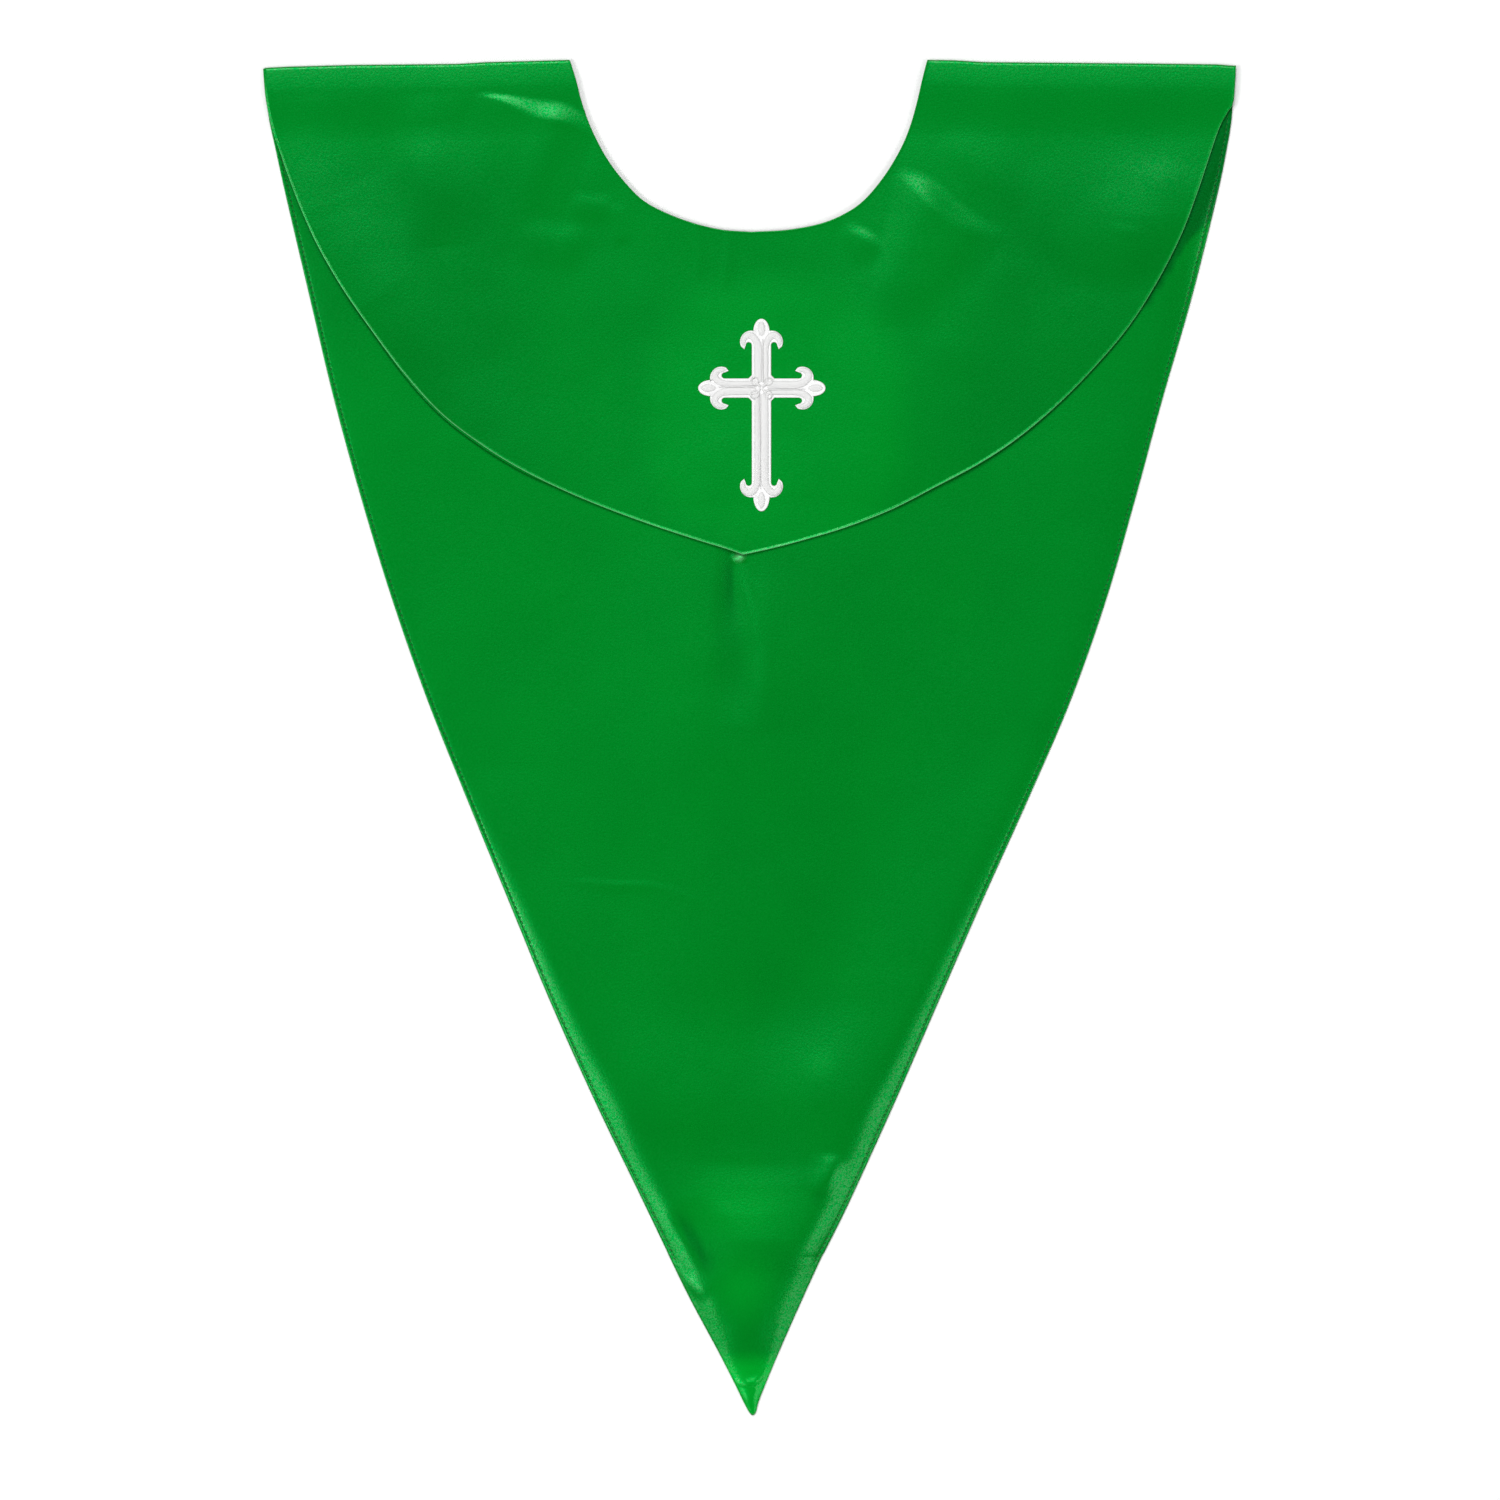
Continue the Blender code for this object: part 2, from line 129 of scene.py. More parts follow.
def smooth_path(knots: Sequence[Sequence[float]], steps: int = 12) -> Array:
    """Rows along a Catmull-Rom curve through the knots.

    Args:
        knots: rows of equal length; every column is carried along.
        steps: points for each span.

    Returns:
        The curve's rows, knots included.
    """
    rows = np.asarray(knots, float)
    padded = np.vstack([2 * rows[0] - rows[1], rows, 2 * rows[-1] - rows[-2]])
    t = np.linspace(0.0, 1.0, steps, endpoint=False)[:, None]
    spans = []
    for before, start, end, after in zip(padded, padded[1:], padded[2:], padded[3:]):
        linear = (end - before) * t
        square = (2 * before - 5 * start + 4 * end - after) * t**2
        cube = (3 * start - before - 3 * end + after) * t**3
        spans.append(start + 0.5 * (linear + square + cube))
    return np.vstack([*spans, rows[-1:]])


def path_lengths(path: Array) -> Array:
    """Distance along a path at each of its points."""
    return np.concatenate([[0.0], np.cumsum(np.hypot(*np.diff(path[:, :2], axis=0).T))])


def points_along(path: Array, fractions: Array) -> Array:
    """The path's points at these fractions of its length."""
    reached = path_lengths(path)
    wanted = np.asarray(fractions) * reached[-1]
    return np.column_stack([np.interp(wanted, reached, path[:, i]) for i in (0, 1)])


def x_at(path: Array, y: float | Array) -> Any:
    """Where a path that runs downwards crosses the height y."""
    return np.interp(y, path[::-1, 1], path[::-1, 0])


def listed(pairs: Sequence[Place], x: Array) -> Array:
    """The value at each x of a list of pairs, x first."""
    return np.interp(x, [pair.x for pair in pairs], [pair.y for pair in pairs])


def higher(first: Array, second: Array, blend: float) -> Array:
    """The higher of two heights, with a soft change from one to the other."""
    return 0.5 * (first + second + np.sqrt((first - second) ** 2 + blend**2))


def ease(t: Any) -> Any:
    """A smooth step from 0 at t = 0 to 1 at t = 1."""
    t = np.clip(t, 0.0, 1.0)
    return t * t * (3.0 - 2.0 * t)


def risen(t: Array) -> Array:
    """Rises evenly from 0 and levels out at 1."""
    t = np.clip(t, 0.0, 1.0)
    return 2.0 * t - 2.0 * t**3 + t**4


def bell(t: Any) -> Any:
    """1 at t = 0, falling off softly on both sides."""
    return np.exp(-(t**2))


class Ramp(NamedTuple):
    """A soft rise from 0 to 1 that starts at one place, backwards if its length is negative."""

    start: float
    length: float

    def at(self, place: Array) -> Array:
        """How far it has risen at each place."""
        return ease((place - self.start) / self.length)


class Patch(NamedTuple):
    """A soft oval patch: its middle, its half sizes, its strength and its even core."""

    x: float
    y: float
    half_x: float
    half_y: float
    strength: float
    core: float = 0.0

    def at(self, x: Array, y: Array) -> Array:
        """Its strength at each point."""
        away = np.hypot((x - self.x) / self.half_x, (y - self.y) / self.half_y)
        return self.strength * (1.0 - ease(away - self.core))


@dataclass(frozen=True)
class Fold:
    """A soft ridge, or a trough where its height is negative, laid along a line.

    crisp turns its rounded flanks into straight ones, from 0 to 1. ends are the lengths over
    which it runs out past its first and its last knot.
    """

    knots: tuple[FoldKnot, ...]
    crisp: float = 0.0
    ends: tuple[float, float] | None = None

    def height(self, x: Array, y: Array) -> Array:
        """How far the fold raises the cloth.

        Args:
            x: points across the stole.
            y: points up the stole, of the same shape.

        Returns:
            The rise at each point.
        """
        rows = smooth_path(self.knots, 24)
        chord = rows[-1, :2] - rows[0, :2]
        length = math.hypot(*chord)
        run_x, run_y = chord / length
        along = (x - rows[0, 0]) * run_x + (y - rows[0, 1]) * run_y
        side = (y - rows[0, 1]) * run_x - (x - rows[0, 0]) * run_y
        knot_along = (rows[:, 0] - rows[0, 0]) * run_x + (rows[:, 1] - rows[0, 1]) * run_y
        knot_side = (rows[:, 1] - rows[0, 1]) * run_x - (rows[:, 0] - rows[0, 0]) * run_y
        crest, tall, before, after = (
            np.interp(along, knot_along, column)
            for column in (knot_side, rows[:, 2], rows[:, 3], rows[:, 4])
        )
        apart = side - crest
        width = np.maximum(np.where(apart > 0, before, after), NARROWEST)
        share = np.clip(np.abs(apart) / width, 0.0, 1.0)
        flank = (1.0 - self.crisp) * (0.5 + 0.5 * np.cos(math.pi * share))
        flank += self.crisp * (1.0 - share)
        ends = self.ends or [sum(self.knots[place][3:]) / 2 for place in (0, -1)]
        run_out = (1.0 - ease(-along / ends[0])) * (1.0 - ease((along - length) / ends[1]))
        return tall * flank * run_out


def laid(
    *knots: tuple[float, float, float, float, float],
    crisp: float = 0.0,
    ends: tuple[float, float] | None = None,
) -> Fold:
    """A fold through knots whose numbers stand in the order of FoldKnot."""
    return Fold(tuple(FoldKnot(*knot) for knot in knots), crisp, ends)


def folds_height(folds: Iterable[Fold], x: Array, y: Array) -> Array:
    """All folds together."""
    total = np.zeros_like(x)
    for one in folds:
        total += one.height(x, y)
    return total


class Net(NamedTuple):
    """One net of the slow waves: its spacing, its height and how far it is turned."""

    spacing: float
    height: float
    turn: float


@dataclass(frozen=True)
class SlowWaves:
    """Slow, uneven waves of cloth that was smoothed by hand, never below the flat lie."""

    seed: int
    nets: tuple[Net, ...]
    reach: float = 640.0

    def height(self, x: Array, y: Array) -> Array:
        """How far the waves raise the cloth at points of one shape."""
        total = np.zeros_like(x)
        for number, net in enumerate(self.nets):
            draws = np.random.default_rng(self.seed + number)
            size = int(2 * self.reach / net.spacing) + 2
            knots = draws.random((size, size))
            turn = math.radians(net.turn)
            across = (x * math.cos(turn) + y * math.sin(turn) + self.reach) / net.spacing
            up = (y * math.cos(turn) - x * math.sin(turn) + self.reach) / net.spacing
            i, j = across.astype(int), up.astype(int)
            s, t = ease(across - i), ease(up - j)
            low = knots[i, j] * (1 - s) + knots[i + 1, j] * s
            high = knots[i, j + 1] * (1 - s) + knots[i + 1, j + 1] * s
            total += net.height * (low * (1 - t) + high * t)
        return total


# Meshes


class MeshMaker:
    """Collects points, faces and point values in millimetres, then makes one object."""

    def __init__(self, name: str) -> None:
        """Starts an empty mesh with this name."""
        self.name = name
        self.points: list[Array] = []
        self.faces: list[Array] = []
        self.values: dict[str, list[Array]] = {}
        self.count = 0

    def add_points(self, points: Array, **values: Array) -> Array:
        """Adds points.

        Args:
            points: array whose last axis is x, y, z.
            values: point values, each of the points' shape without the last axis.

        Returns:
            The new points' numbers, in the shape of the points.
        """
        shape = points.shape[:-1]
        flat = points.reshape(-1, 3)
        numbers = np.arange(self.count, self.count + len(flat)).reshape(shape)
        self.points.append(flat)
        self.count += len(flat)
        for key, value in values.items():
            self.values.setdefault(key, []).append(np.broadcast_to(value, shape).ravel())
        return numbers

    def add_grid(self, numbers: Array, flip: bool = False, wrap: bool = False) -> None:
        """Adds a quad between each four neighbours of a grid of point numbers.

        Args:
            numbers: rows and columns of point numbers.
            flip: turns the faces round.
            wrap: joins the last column to the first.
        """
        if wrap:
            numbers = np.concatenate([numbers, numbers[:, :1]], axis=1)
        quads = np.stack(
            [numbers[:-1, :-1], numbers[:-1, 1:], numbers[1:, 1:], numbers[1:, :-1]], -1
        ).reshape(-1, 4)
        self.faces.append(quads[:, ::-1] if flip else quads)

    def add_face(self, numbers: Array, flip: bool = False) -> None:
        """Adds one face of any number of corners."""
        self.faces.append(np.asarray(numbers)[None, :: -1 if flip else 1])

    def make(self, material: bpy.types.Material, merge: float = 1e-4) -> bpy.types.Object:
        """Makes the object.

        Args:
            material: its finish.
            merge: points closer than this become one.

        Returns:
            The linked object, in metres, with smooth shading.
        """
        data = bpy.data.meshes.new(self.name)
        faces = [face.tolist() for group in self.faces for face in group]
        data.from_pydata((np.vstack(self.points) * MM).tolist(), [], faces)
        for key, parts in self.values.items():
            layer = data.attributes.new(key, "FLOAT", "POINT")
            layer.data.foreach_set("value", np.concatenate(parts).astype(np.float32))
        mesh = bmesh.new()
        mesh.from_mesh(data)
        bmesh.ops.remove_doubles(mesh, verts=mesh.verts, dist=merge * MM)
        bmesh.ops.dissolve_degenerate(mesh, edges=mesh.edges, dist=merge * MM)
        mesh.to_mesh(data)
        mesh.free()
        data.materials.append(material)
        data.shade_smooth()
        made = bpy.data.objects.new(self.name, data)
        bpy.context.scene.collection.objects.link(made)
        return made


def surface_normals(grid: Array) -> Array:
    """Unit normals of a grid of points, from its neighbours on both sides."""
    down = np.gradient(grid, axis=0)
    across = np.gradient(grid, axis=1)
    normal = np.cross(across, down)
    length = np.linalg.norm(normal, axis=-1, keepdims=True)
    return normal / np.maximum(length, 1e-9)


# Finishes


class Wire:
    """A node's output that takes part in Python sums; each operation adds a Math node."""

    def __init__(self, graph: "Graph", socket: bpy.types.NodeSocket) -> None:
        """Wraps a socket of this graph."""
        self.graph = graph
        self.socket = socket

    def _math(self, operation: str, first: Any, second: Any) -> "Wire":
        """A Math node on two values."""
        return self.graph.node("ShaderNodeMath", {"operation": operation}, {0: first, 1: second})

    def __add__(self, other: Any) -> "Wire":
        """self + other."""
        return self._math("ADD", self, other)

    def __radd__(self, other: Any) -> "Wire":
        """other + self."""
        return self._math("ADD", other, self)

    def __sub__(self, other: Any) -> "Wire":
        """self - other."""
        return self._math("SUBTRACT", self, other)

    def __rsub__(self, other: Any) -> "Wire":
        """other - self."""
        return self._math("SUBTRACT", other, self)

    def __mul__(self, other: Any) -> "Wire":
        """self * other."""
        return self._math("MULTIPLY", self, other)

    def __rmul__(self, other: Any) -> "Wire":
        """other * self."""
        return self._math("MULTIPLY", other, self)

    def __truediv__(self, other: Any) -> "Wire":
        """self / other."""
        return self._math("DIVIDE", self, other)

    def __pow__(self, other: Any) -> "Wire":
        """self ** other."""
        return self._math("POWER", self, other)

    def __mod__(self, other: Any) -> "Wire":
        """self % other, never negative."""
        return self._math("FLOORED_MODULO", self, other)

    def clamp(self) -> "Wire":
        """self, kept from 0 to 1."""
        return self._math("MINIMUM", self._math("MAXIMUM", self, 0.0), 1.0)


class Graph:
    """The node tree of one finish."""

    def __init__(self, name: str) -> None:
        """Makes a material with an empty node tree."""
        self.material = bpy.data.materials.new(name)
        self.material.use_nodes = True
        self.tree = self.material.node_tree
        self.tree.nodes.clear()

    def node(
        self,
        kind: str,
        settings: Mapping[str, Any] | None = None,
        sockets: Mapping[str | int, Any] | None = None,
        output: str | int = 0,
    ) -> Wire:
        """Adds a node.

        Args:
            kind: the node's type.
            settings: its own settings, which are set first.
            sockets: values or wires of its inputs.
            output: the output that is returned.

        Returns:
            That output.
        """
        made = self.tree.nodes.new(kind)
        for key, value in (settings or {}).items():
            setattr(made, key, value)
        for key, value in (sockets or {}).items():
            socket = made.inputs[key]
            if isinstance(value, Wire):
                self.tree.links.new(value.socket, socket)
            else:
                socket.default_value = value
        return Wire(self, made.outputs[output])

    def place(self) -> Wire:
        """The point on the object, in metres."""
        return self.node("ShaderNodeTexCoord", output="Object")

    def stretched(self, scale: tuple[float, float, float]) -> Wire:
        """The point on the object, scaled along each axis."""
        return self.node(
            "ShaderNodeVectorMath", {"operation": "MULTIPLY"}, {0: self.place(), 1: scale}
        )

    def noise(self, vector: Wire, scale: float, detail: float = 2.0) -> Wire:
        """Soft noise from 0 to 1."""
        sockets = {"Vector": vector, "Scale": scale, "Detail": detail}
        return self.node("ShaderNodeTexNoise", {}, sockets)

    def value(self, name: str) -> Wire:
        """A point value that the mesh carries."""
        return self.node("ShaderNodeAttribute", {"attribute_name": name}, output="Fac")

    def blend(self, share: Any, first: Any, second: Any) -> Wire:
        """A colour between two colours."""
        settings = {"data_type": "RGBA", "clamp_factor": True}
        sockets = {"Factor": share, 6: first, 7: second}
        return self.node("ShaderNodeMix", settings, sockets, 2)

    def scaled(self, colour: Wire, factor: Wire) -> Wire:
        """A colour times a value."""
        sockets = {0: colour, "Scale": factor}
        return self.node("ShaderNodeVectorMath", {"operation": "SCALE"}, sockets)

    def bump(self, height: Wire, strength: float, distance: float) -> Wire:
        """A bumped normal."""
        sockets = {"Height": height, "Strength": strength, "Distance": distance}
        return self.node("ShaderNodeBump", {}, sockets)

    def finish(self, sockets: Mapping[str, Any]) -> bpy.types.Material:
        """Closes the tree with a Principled shader and returns the material."""
        shader = self.node("ShaderNodeBsdfPrincipled", {}, sockets)
        self.node_output(shader)
        return self.material

    def node_output(self, shader: Wire) -> None:
        """Links a shader to the material's output."""
        out = self.tree.nodes.new("ShaderNodeOutputMaterial")
        self.tree.links.new(shader.socket, out.inputs["Surface"])


Colour = tuple[float, float, float, float]


def shaded(colour: Colour, factor: float) -> Colour:
    """A colour made darker or lighter."""
    return (colour[0] * factor, colour[1] * factor, colour[2] * factor, 1.0)


@dataclass(frozen=True)
class SatinFinish:
    """Polyester satin: a dyed ground, a broad tinted gloss, the grain of its long floats, and
    painted light, shade and highlights from the mesh's values.
    """

    name: str
    dye: Colour = (0.0, 0.185, 0.0090, 1.0)
    # colour of the painted highlight on the yoke's hem and at the pleat's top
    painted_highlight_colour: Colour = (0.13, 0.50, 0.19, 1.0)
    dye_spread: float = 0.08

    # Gloss
    gloss_tint: Colour = (0.0, 1.0, 0.21, 1.0)
    gloss: float = 1.0
    roughness: float = 0.34
    roughness_spread: float = 0.16
    coat: float = 0.30
    coat_roughness: float = 0.20
    sparkle: float = 7.0

    # Grain, floats and mottling
    grain_scale: float = 800.0
    grain_relief: float = 0.7
    float_scale: tuple[float, float, float] = (1500.0, 420.0, 1500.0)
    float_relief: float = 0.3
    float_tone: float = 0.2
    mottle_scale: float = 17.0
    mottle: float = 1.3
    relief_strength: float = 0.5
    relief_depth: float = 0.0003

    # Needle holes: their darkness and depth, and how full and wide they are
    hole_dark: float = 0.2
    hole_cover: float = 0.8
    hole_depth: float = 1.5
    hole_fill: float = 1.3
    hole_spread: float = 0.62

    def make(self, stitched: bool) -> bpy.types.Material:
        """Makes the material.

        Args:
            stitched: whether the edge carries a row of needle holes.

        Returns:
            The material.
        """
        graph = Graph(self.name)
        floats = graph.noise(graph.stretched(self.float_scale), 1.0, 1.0)
        grain = graph.noise(graph.place(), self.grain_scale, 3.0)
        mottle = graph.noise(graph.place(), self.mottle_scale, 3.0)
        tone = (mottle - 0.5) * self.mottle + 0.5 + (floats - 0.5) * self.float_tone
        dark = shaded(self.dye, 1.0 - self.dye_spread)
        light = shaded(self.dye, 1.0 + self.dye_spread)
        colour = graph.blend(tone.clamp(), dark, light)
        height = floats * self.float_relief + grain * self.grain_relief
        if stitched:
            hole = self._needle_holes(graph)
            colour = graph.blend(hole * self.hole_cover, colour, shaded(self.dye, self.hole_dark))
            height = height - hole * self.hole_depth
        # painted light and shade from the mesh's tone values, then the painted highlight
        colour = graph.scaled(colour, 1.0 + graph.value("tone"))
        colour = graph.blend(graph.value("taut"), colour, self.painted_highlight_colour)
        normal = graph.bump(height, self.relief_strength, self.relief_depth)
        roughness = (grain - 0.5) * self.roughness_spread + self.roughness
        sparkle = ((grain - 0.5) * self.sparkle + 0.5).clamp()
        return graph.finish(
            {
                "Base Color": colour,
                "Roughness": roughness,
                "Specular IOR Level": self.gloss,
                "Specular Tint": self.gloss_tint,
                "Coat Weight": sparkle * self.coat,
                "Coat Roughness": self.coat_roughness,
                "Normal": normal,
            }
        )

    def _needle_holes(self, graph: Graph) -> Wire:
        """A mask of the needle's holes along the edge, 1 in each hole."""
        along = graph.value("along_mm")
        inside = graph.value("edge_mm")
        apart = (along % STITCH_PITCH) - STITCH_PITCH / 2
        off_line = inside - STITCH_INSET
        near = self.hole_fill - (apart * apart + off_line * off_line) / self.hole_spread
        return (near * graph.value("stitched")).clamp()


@dataclass(frozen=True)
class ThreadFinish:
    """Sewing or embroidery thread: a soft twist with a light gloss."""

    name: str
    dye: Colour
    roughness: float = 0.48
    gloss: float = 0.5
    tint: Colour = (1.0, 1.0, 1.0, 1.0)
    spread: float = 0.06
    roughness_spread: float = 0.2
    twist_scale: float = 2600.0
    twist_share: float = 0.6
    patch_scale: float = 160.0
    relief_strength: float = 0.25
    relief_depth: float = 0.00012

    def make(self) -> bpy.types.Material:
        """Makes the material."""
        graph = Graph(self.name)
        fibre = graph.noise(graph.place(), self.twist_scale)
        patch = graph.noise(graph.place(), self.patch_scale)
        tone = (fibre * self.twist_share + patch * (1.0 - self.twist_share)).clamp()
        dark = shaded(self.dye, 1.0 - self.spread)
        light = shaded(self.dye, 1.0 + self.spread)
        return graph.finish(
            {
                "Base Color": graph.blend(tone, dark, light),
                "Roughness": (fibre - 0.5) * self.roughness_spread + self.roughness,
                "Specular IOR Level": self.gloss,
                "Specular Tint": self.tint,
                "Normal": graph.bump(fibre, self.relief_strength, self.relief_depth),
            }
        )


@dataclass(frozen=True)
class FloorFinish:
    """A plain pale sheet of paper under the stole."""

    name: str = "studio_paper"
    colour: Colour = (0.96, 0.96, 0.96, 1.0)
    speck_scale: float = 90.0
    speck_tone: float = 0.985
    roughness: float = 0.9
    gloss: float = 0.1

    def make(self) -> bpy.types.Material:
        """Makes the material."""
        graph = Graph(self.name)
        speck = graph.noise(graph.place(), self.speck_scale)
        colour = graph.blend(speck, self.colour, shaded(self.colour, self.speck_tone))
        sockets = {"Roughness": self.roughness, "Specular IOR Level": self.gloss}
        return graph.finish({"Base Color": colour, **sockets})


# Cloth


class RollRow(NamedTuple):
    """How high the long panel stands beside its edge, and over which width it rolls down."""

    y: float
    drop: float
    drop_width: float


LEFT_ROLL = (
    RollRow(440.0, 0.8, 22.0),
    RollRow(200.0, 0.6, 22.0),
    RollRow(60.0, 0.5, 18.0),
    RollRow(-20.0, 0.6, 16.0),
    RollRow(-110.0, 2.1, 18.0),
    RollRow(-180.0, 3.1, 21.0),
    RollRow(-250.0, 3.8, 26.0),
    RollRow(-310.0, 3.7, 26.0),
    RollRow(-345.0, 2.5, 19.0),
    RollRow(-375.0, 1.3, 13.0),
    RollRow(-410.0, 0.7, 8.0),
    RollRow(-440.0, 0.0, 2.0),
)
RIGHT_ROLL = (
    RollRow(440.0, 1.0, 12.0),
    RollRow(400.0, 1.6, 12.0),
    RollRow(340.0, 2.4, 18.0),
    RollRow(290.0, 1.2, 20.0),
    RollRow(230.0, 0.5, 20.0),
    RollRow(100.0, 0.4, 20.0),
    RollRow(0.0, 0.5, 18.0),
    RollRow(-80.0, 1.6, 18.0),
    RollRow(-160.0, 3.3, 20.0),
    RollRow(-230.0, 4.1, 24.0),
    RollRow(-290.0, 4.5, 27.0),
    RollRow(-327.0, 3.9, 24.0),
    RollRow(-347.0, 2.0, 14.0),
    RollRow(-375.0, 1.4, 12.0),
    RollRow(-410.0, 0.7, 8.0),
    RollRow(-440.0, 0.0, 2.0),
)

# Where the painted shadow on the right strap, beside the yoke's hem, starts at each x
STRAP_SHADOW_START = (
    Place(258.0, 278.0),
    Place(270.0, 295.0),
    Place(280.0, 312.0),
    Place(285.0, 320.0),
    Place(303.0, 338.0),
    Place(312.0, 345.0),
)

PANEL_WAVES = SlowWaves(41, (Net(92.0, 0.9, 17.0), Net(41.0, 0.34, 38.0), Net(17.0, 0.09, 8.0)))

PANEL_FOLDS = (
    laid(
        (-22.0, 150.0, 2.4, 160.0, 96.0),
        (-24.0, 60.0, 4.0, 160.0, 100.0),
        (-22.0, 0.0, 3.8, 150.0, 96.0),
        (-15.0, -60.0, 2.8, 120.0, 86.0),
        (-14.0, -130.0, 2.4, 96.0, 78.0),
        (-16.0, -190.0, 0.8, 70.0, 60.0),
        (-10.0, -240.0, 0.0, 50.0, 50.0),
    ),
    laid(
        (43.0, -224.0, 0.3, 23.0, 26.0),
        (50.0, -223.0, 0.3, 23.0, 26.0),
        ends=(12.0, 12.0),
    ),
    laid(
        (-60.0, -229.0, 1.4, 60.0, 44.0),
        (-10.0, -232.0, 2.0, 70.0, 46.0),
        (50.0, -230.0, 1.6, 60.0, 44.0),
    ),
    laid(
        (-48.0, -326.0, 1.8, 50.0, 60.0),
        (-20.0, -336.0, 3.9, 58.0, 92.0),
        (10.0, -338.0, 4.2, 60.0, 96.0),
        (36.0, -334.0, 2.8, 56.0, 80.0),
        crisp=0.6,
        ends=(40.0, 40.0),
    ),
    laid(
        (-18.0, -377.0, 0.8, 40.0, 22.0),
        (-1.0, -380.0, 1.5, 44.0, 26.0),
        (14.0, -378.0, 0.8, 40.0, 22.0),
        crisp=0.2,
        ends=(26.0, 26.0),
    ),
    laid(
        (-49.0, -304.0, 0.0, 24.0, 7.0),
        (-40.0, -319.0, -1.5, 26.0, 7.0),
        (-31.0, -335.0, -1.5, 26.0, 7.0),
        (-23.0, -352.0, 0.0, 24.0, 7.0),
        crisp=0.4,
    ),
    laid(
        (55.0, -270.0, 0.0, 12.0, 8.0),
        (52.5, -277.0, 1.5, 12.0, 8.0),
        (49.5, -287.0, 1.9, 12.0, 8.5),
        (46.0, -298.0, 0.0, 10.0, 8.0),
        crisp=0.3,
        ends=(6.0, 6.0),
    ),
    laid(
        (26.0, -339.5, 0.0, 1.5, 1.5),
        (36.0, -338.5, -0.2, 1.6, 1.6),
        (47.0, -338.0, -0.3, 1.6, 1.6),
    ),
    laid(
        (-47.5, -341.0, 0.3, 1.6, 2.4),
        (-43.5, -349.0, 0.9, 1.6, 2.6),
        (-38.5, -359.0, 0.0, 1.6, 2.0),
    ),
    laid(
        (-39.0, -357.0, 1.3, 10.0, 7.0),
        (-33.0, -360.0, 1.1, 10.0, 7.0),
    ),
    laid(
        (-9.0, -419.5, 0.3, 5.0, 1.3),
        (-2.0, -421.0, 0.9, 6.0, 1.4),
        (5.0, -419.0, 1.0, 6.0, 1.4),
        (11.0, -413.5, 0.5, 5.0, 1.2),
    ),
    laid(
        (-8.0, -428.0, 0.5, 22.0, 8.0),
        (1.0, -428.5, 0.9, 24.0, 8.0),
        (9.0, -428.0, 0.5, 22.0, 8.0),
        crisp=0.3,
        ends=(8.0, 8.0),
    ),
    laid(
        (-124.0, -92.5, 0.0, 1.4, 6.0),
        (-90.0, -94.5, 0.2, 1.5, 8.0),
        (-56.0, -97.0, 0.16, 1.5, 8.0),
        (-16.0, -113.5, 0.0, 1.4, 6.0),
    ),
)

PANEL_PLEATS = (
    laid(
        (-10.5, 119.0, -1.7, 13.0, 12.0),
        (-10.5, 104.0, -1.7, 13.0, 12.0),
        (-9.0, 86.0, -1.5, 18.0, 16.0),
        (-7.0, 62.0, -0.9, 20.0, 22.0),
        (-8.0, 34.0, -0.9, 18.0, 24.0),
        (-9.0, 8.0, 0.0, 18.0, 22.0),
        crisp=0.2,
        ends=(26.0, 14.0),
    ),
    laid(
        (11.0, 142.0, 0.0, 60.0, 8.0),
        (11.0, 118.0, 0.35, 60.0, 8.0),
        (11.5, 98.0, 0.6, 60.0, 8.5),
        (12.5, 70.0, 0.8, 60.0, 11.0),
        (12.0, 50.0, 0.8, 58.0, 11.0),
        (11.0, 30.0, 0.7, 54.0, 11.0),
        (9.0, 2.0, 0.0, 50.0, 13.0),
        crisp=0.3,
        ends=(6.0, 14.0),
    ),
    laid(
        (-8.6, 116.4, 2.2, 4.4, 2.6),
        (-4.7, 116.2, 2.2, 4.4, 2.6),
        crisp=0.2,
        ends=(2.2, 2.2),
    ),
    laid(
        (-3.0, 106.0, 0.0, 6.0, 4.0),
        (2.0, 94.0, 0.3, 8.0, 5.0),
        (5.0, 78.0, 0.3, 8.0, 5.0),
        (6.0, 62.0, 0.0, 6.0, 5.0),
        crisp=0.3,
    ),
)

# Painted shade along creases and troughs, where folds fall in shade and the satin is coloured
# darker
PAINTED_CREASE_SHADE = (
    laid(
        (-12.0, 118.0, -0.10, 1.6, 9.0),
        (-12.0, 105.0, -0.27, 1.8, 9.0),
        (-11.5, 90.0, -0.15, 2.4, 9.0),
        (-10.0, 74.0, 0.0, 4.0, 10.0),
        crisp=0.2,
        ends=(4.0, 6.0),
    ),
    laid(
        (-13.0, 114.0, -0.03, 6.0, 28.0),
        (-12.0, 88.0, -0.10, 8.0, 26.0),
        (-10.0, 48.0, -0.07, 10.0, 20.0),
        (-10.0, 20.0, 0.0, 10.0, 20.0),
    ),
    laid(
        (-48.0, -306.0, 0.0, 5.0, 4.0),
        (-40.5, -320.0, -0.36, 7.0, 4.5),
        (-31.0, -337.0, -0.36, 7.0, 4.5),
        (-24.0, -350.0, 0.0, 5.0, 4.0),
    ),
    laid(
        (45.5, -295.0, -0.10, 6.0, 6.0),
        (43.5, -301.0, -0.10, 6.0, 6.0),
        ends=(4.0, 4.0),
    ),
)


# Painted sheen: patches where the satin is coloured lighter in place of its gloss
PAINTED_SHEEN_PATCHES = (
    Patch(-2.0, -306.0, 62.0, 44.0, 0.9),
    Patch(-2.0, -358.0, 36.0, 32.0, 1.1),
    Patch(47.0, -211.0, 18.0, 17.0, 0.2),
)


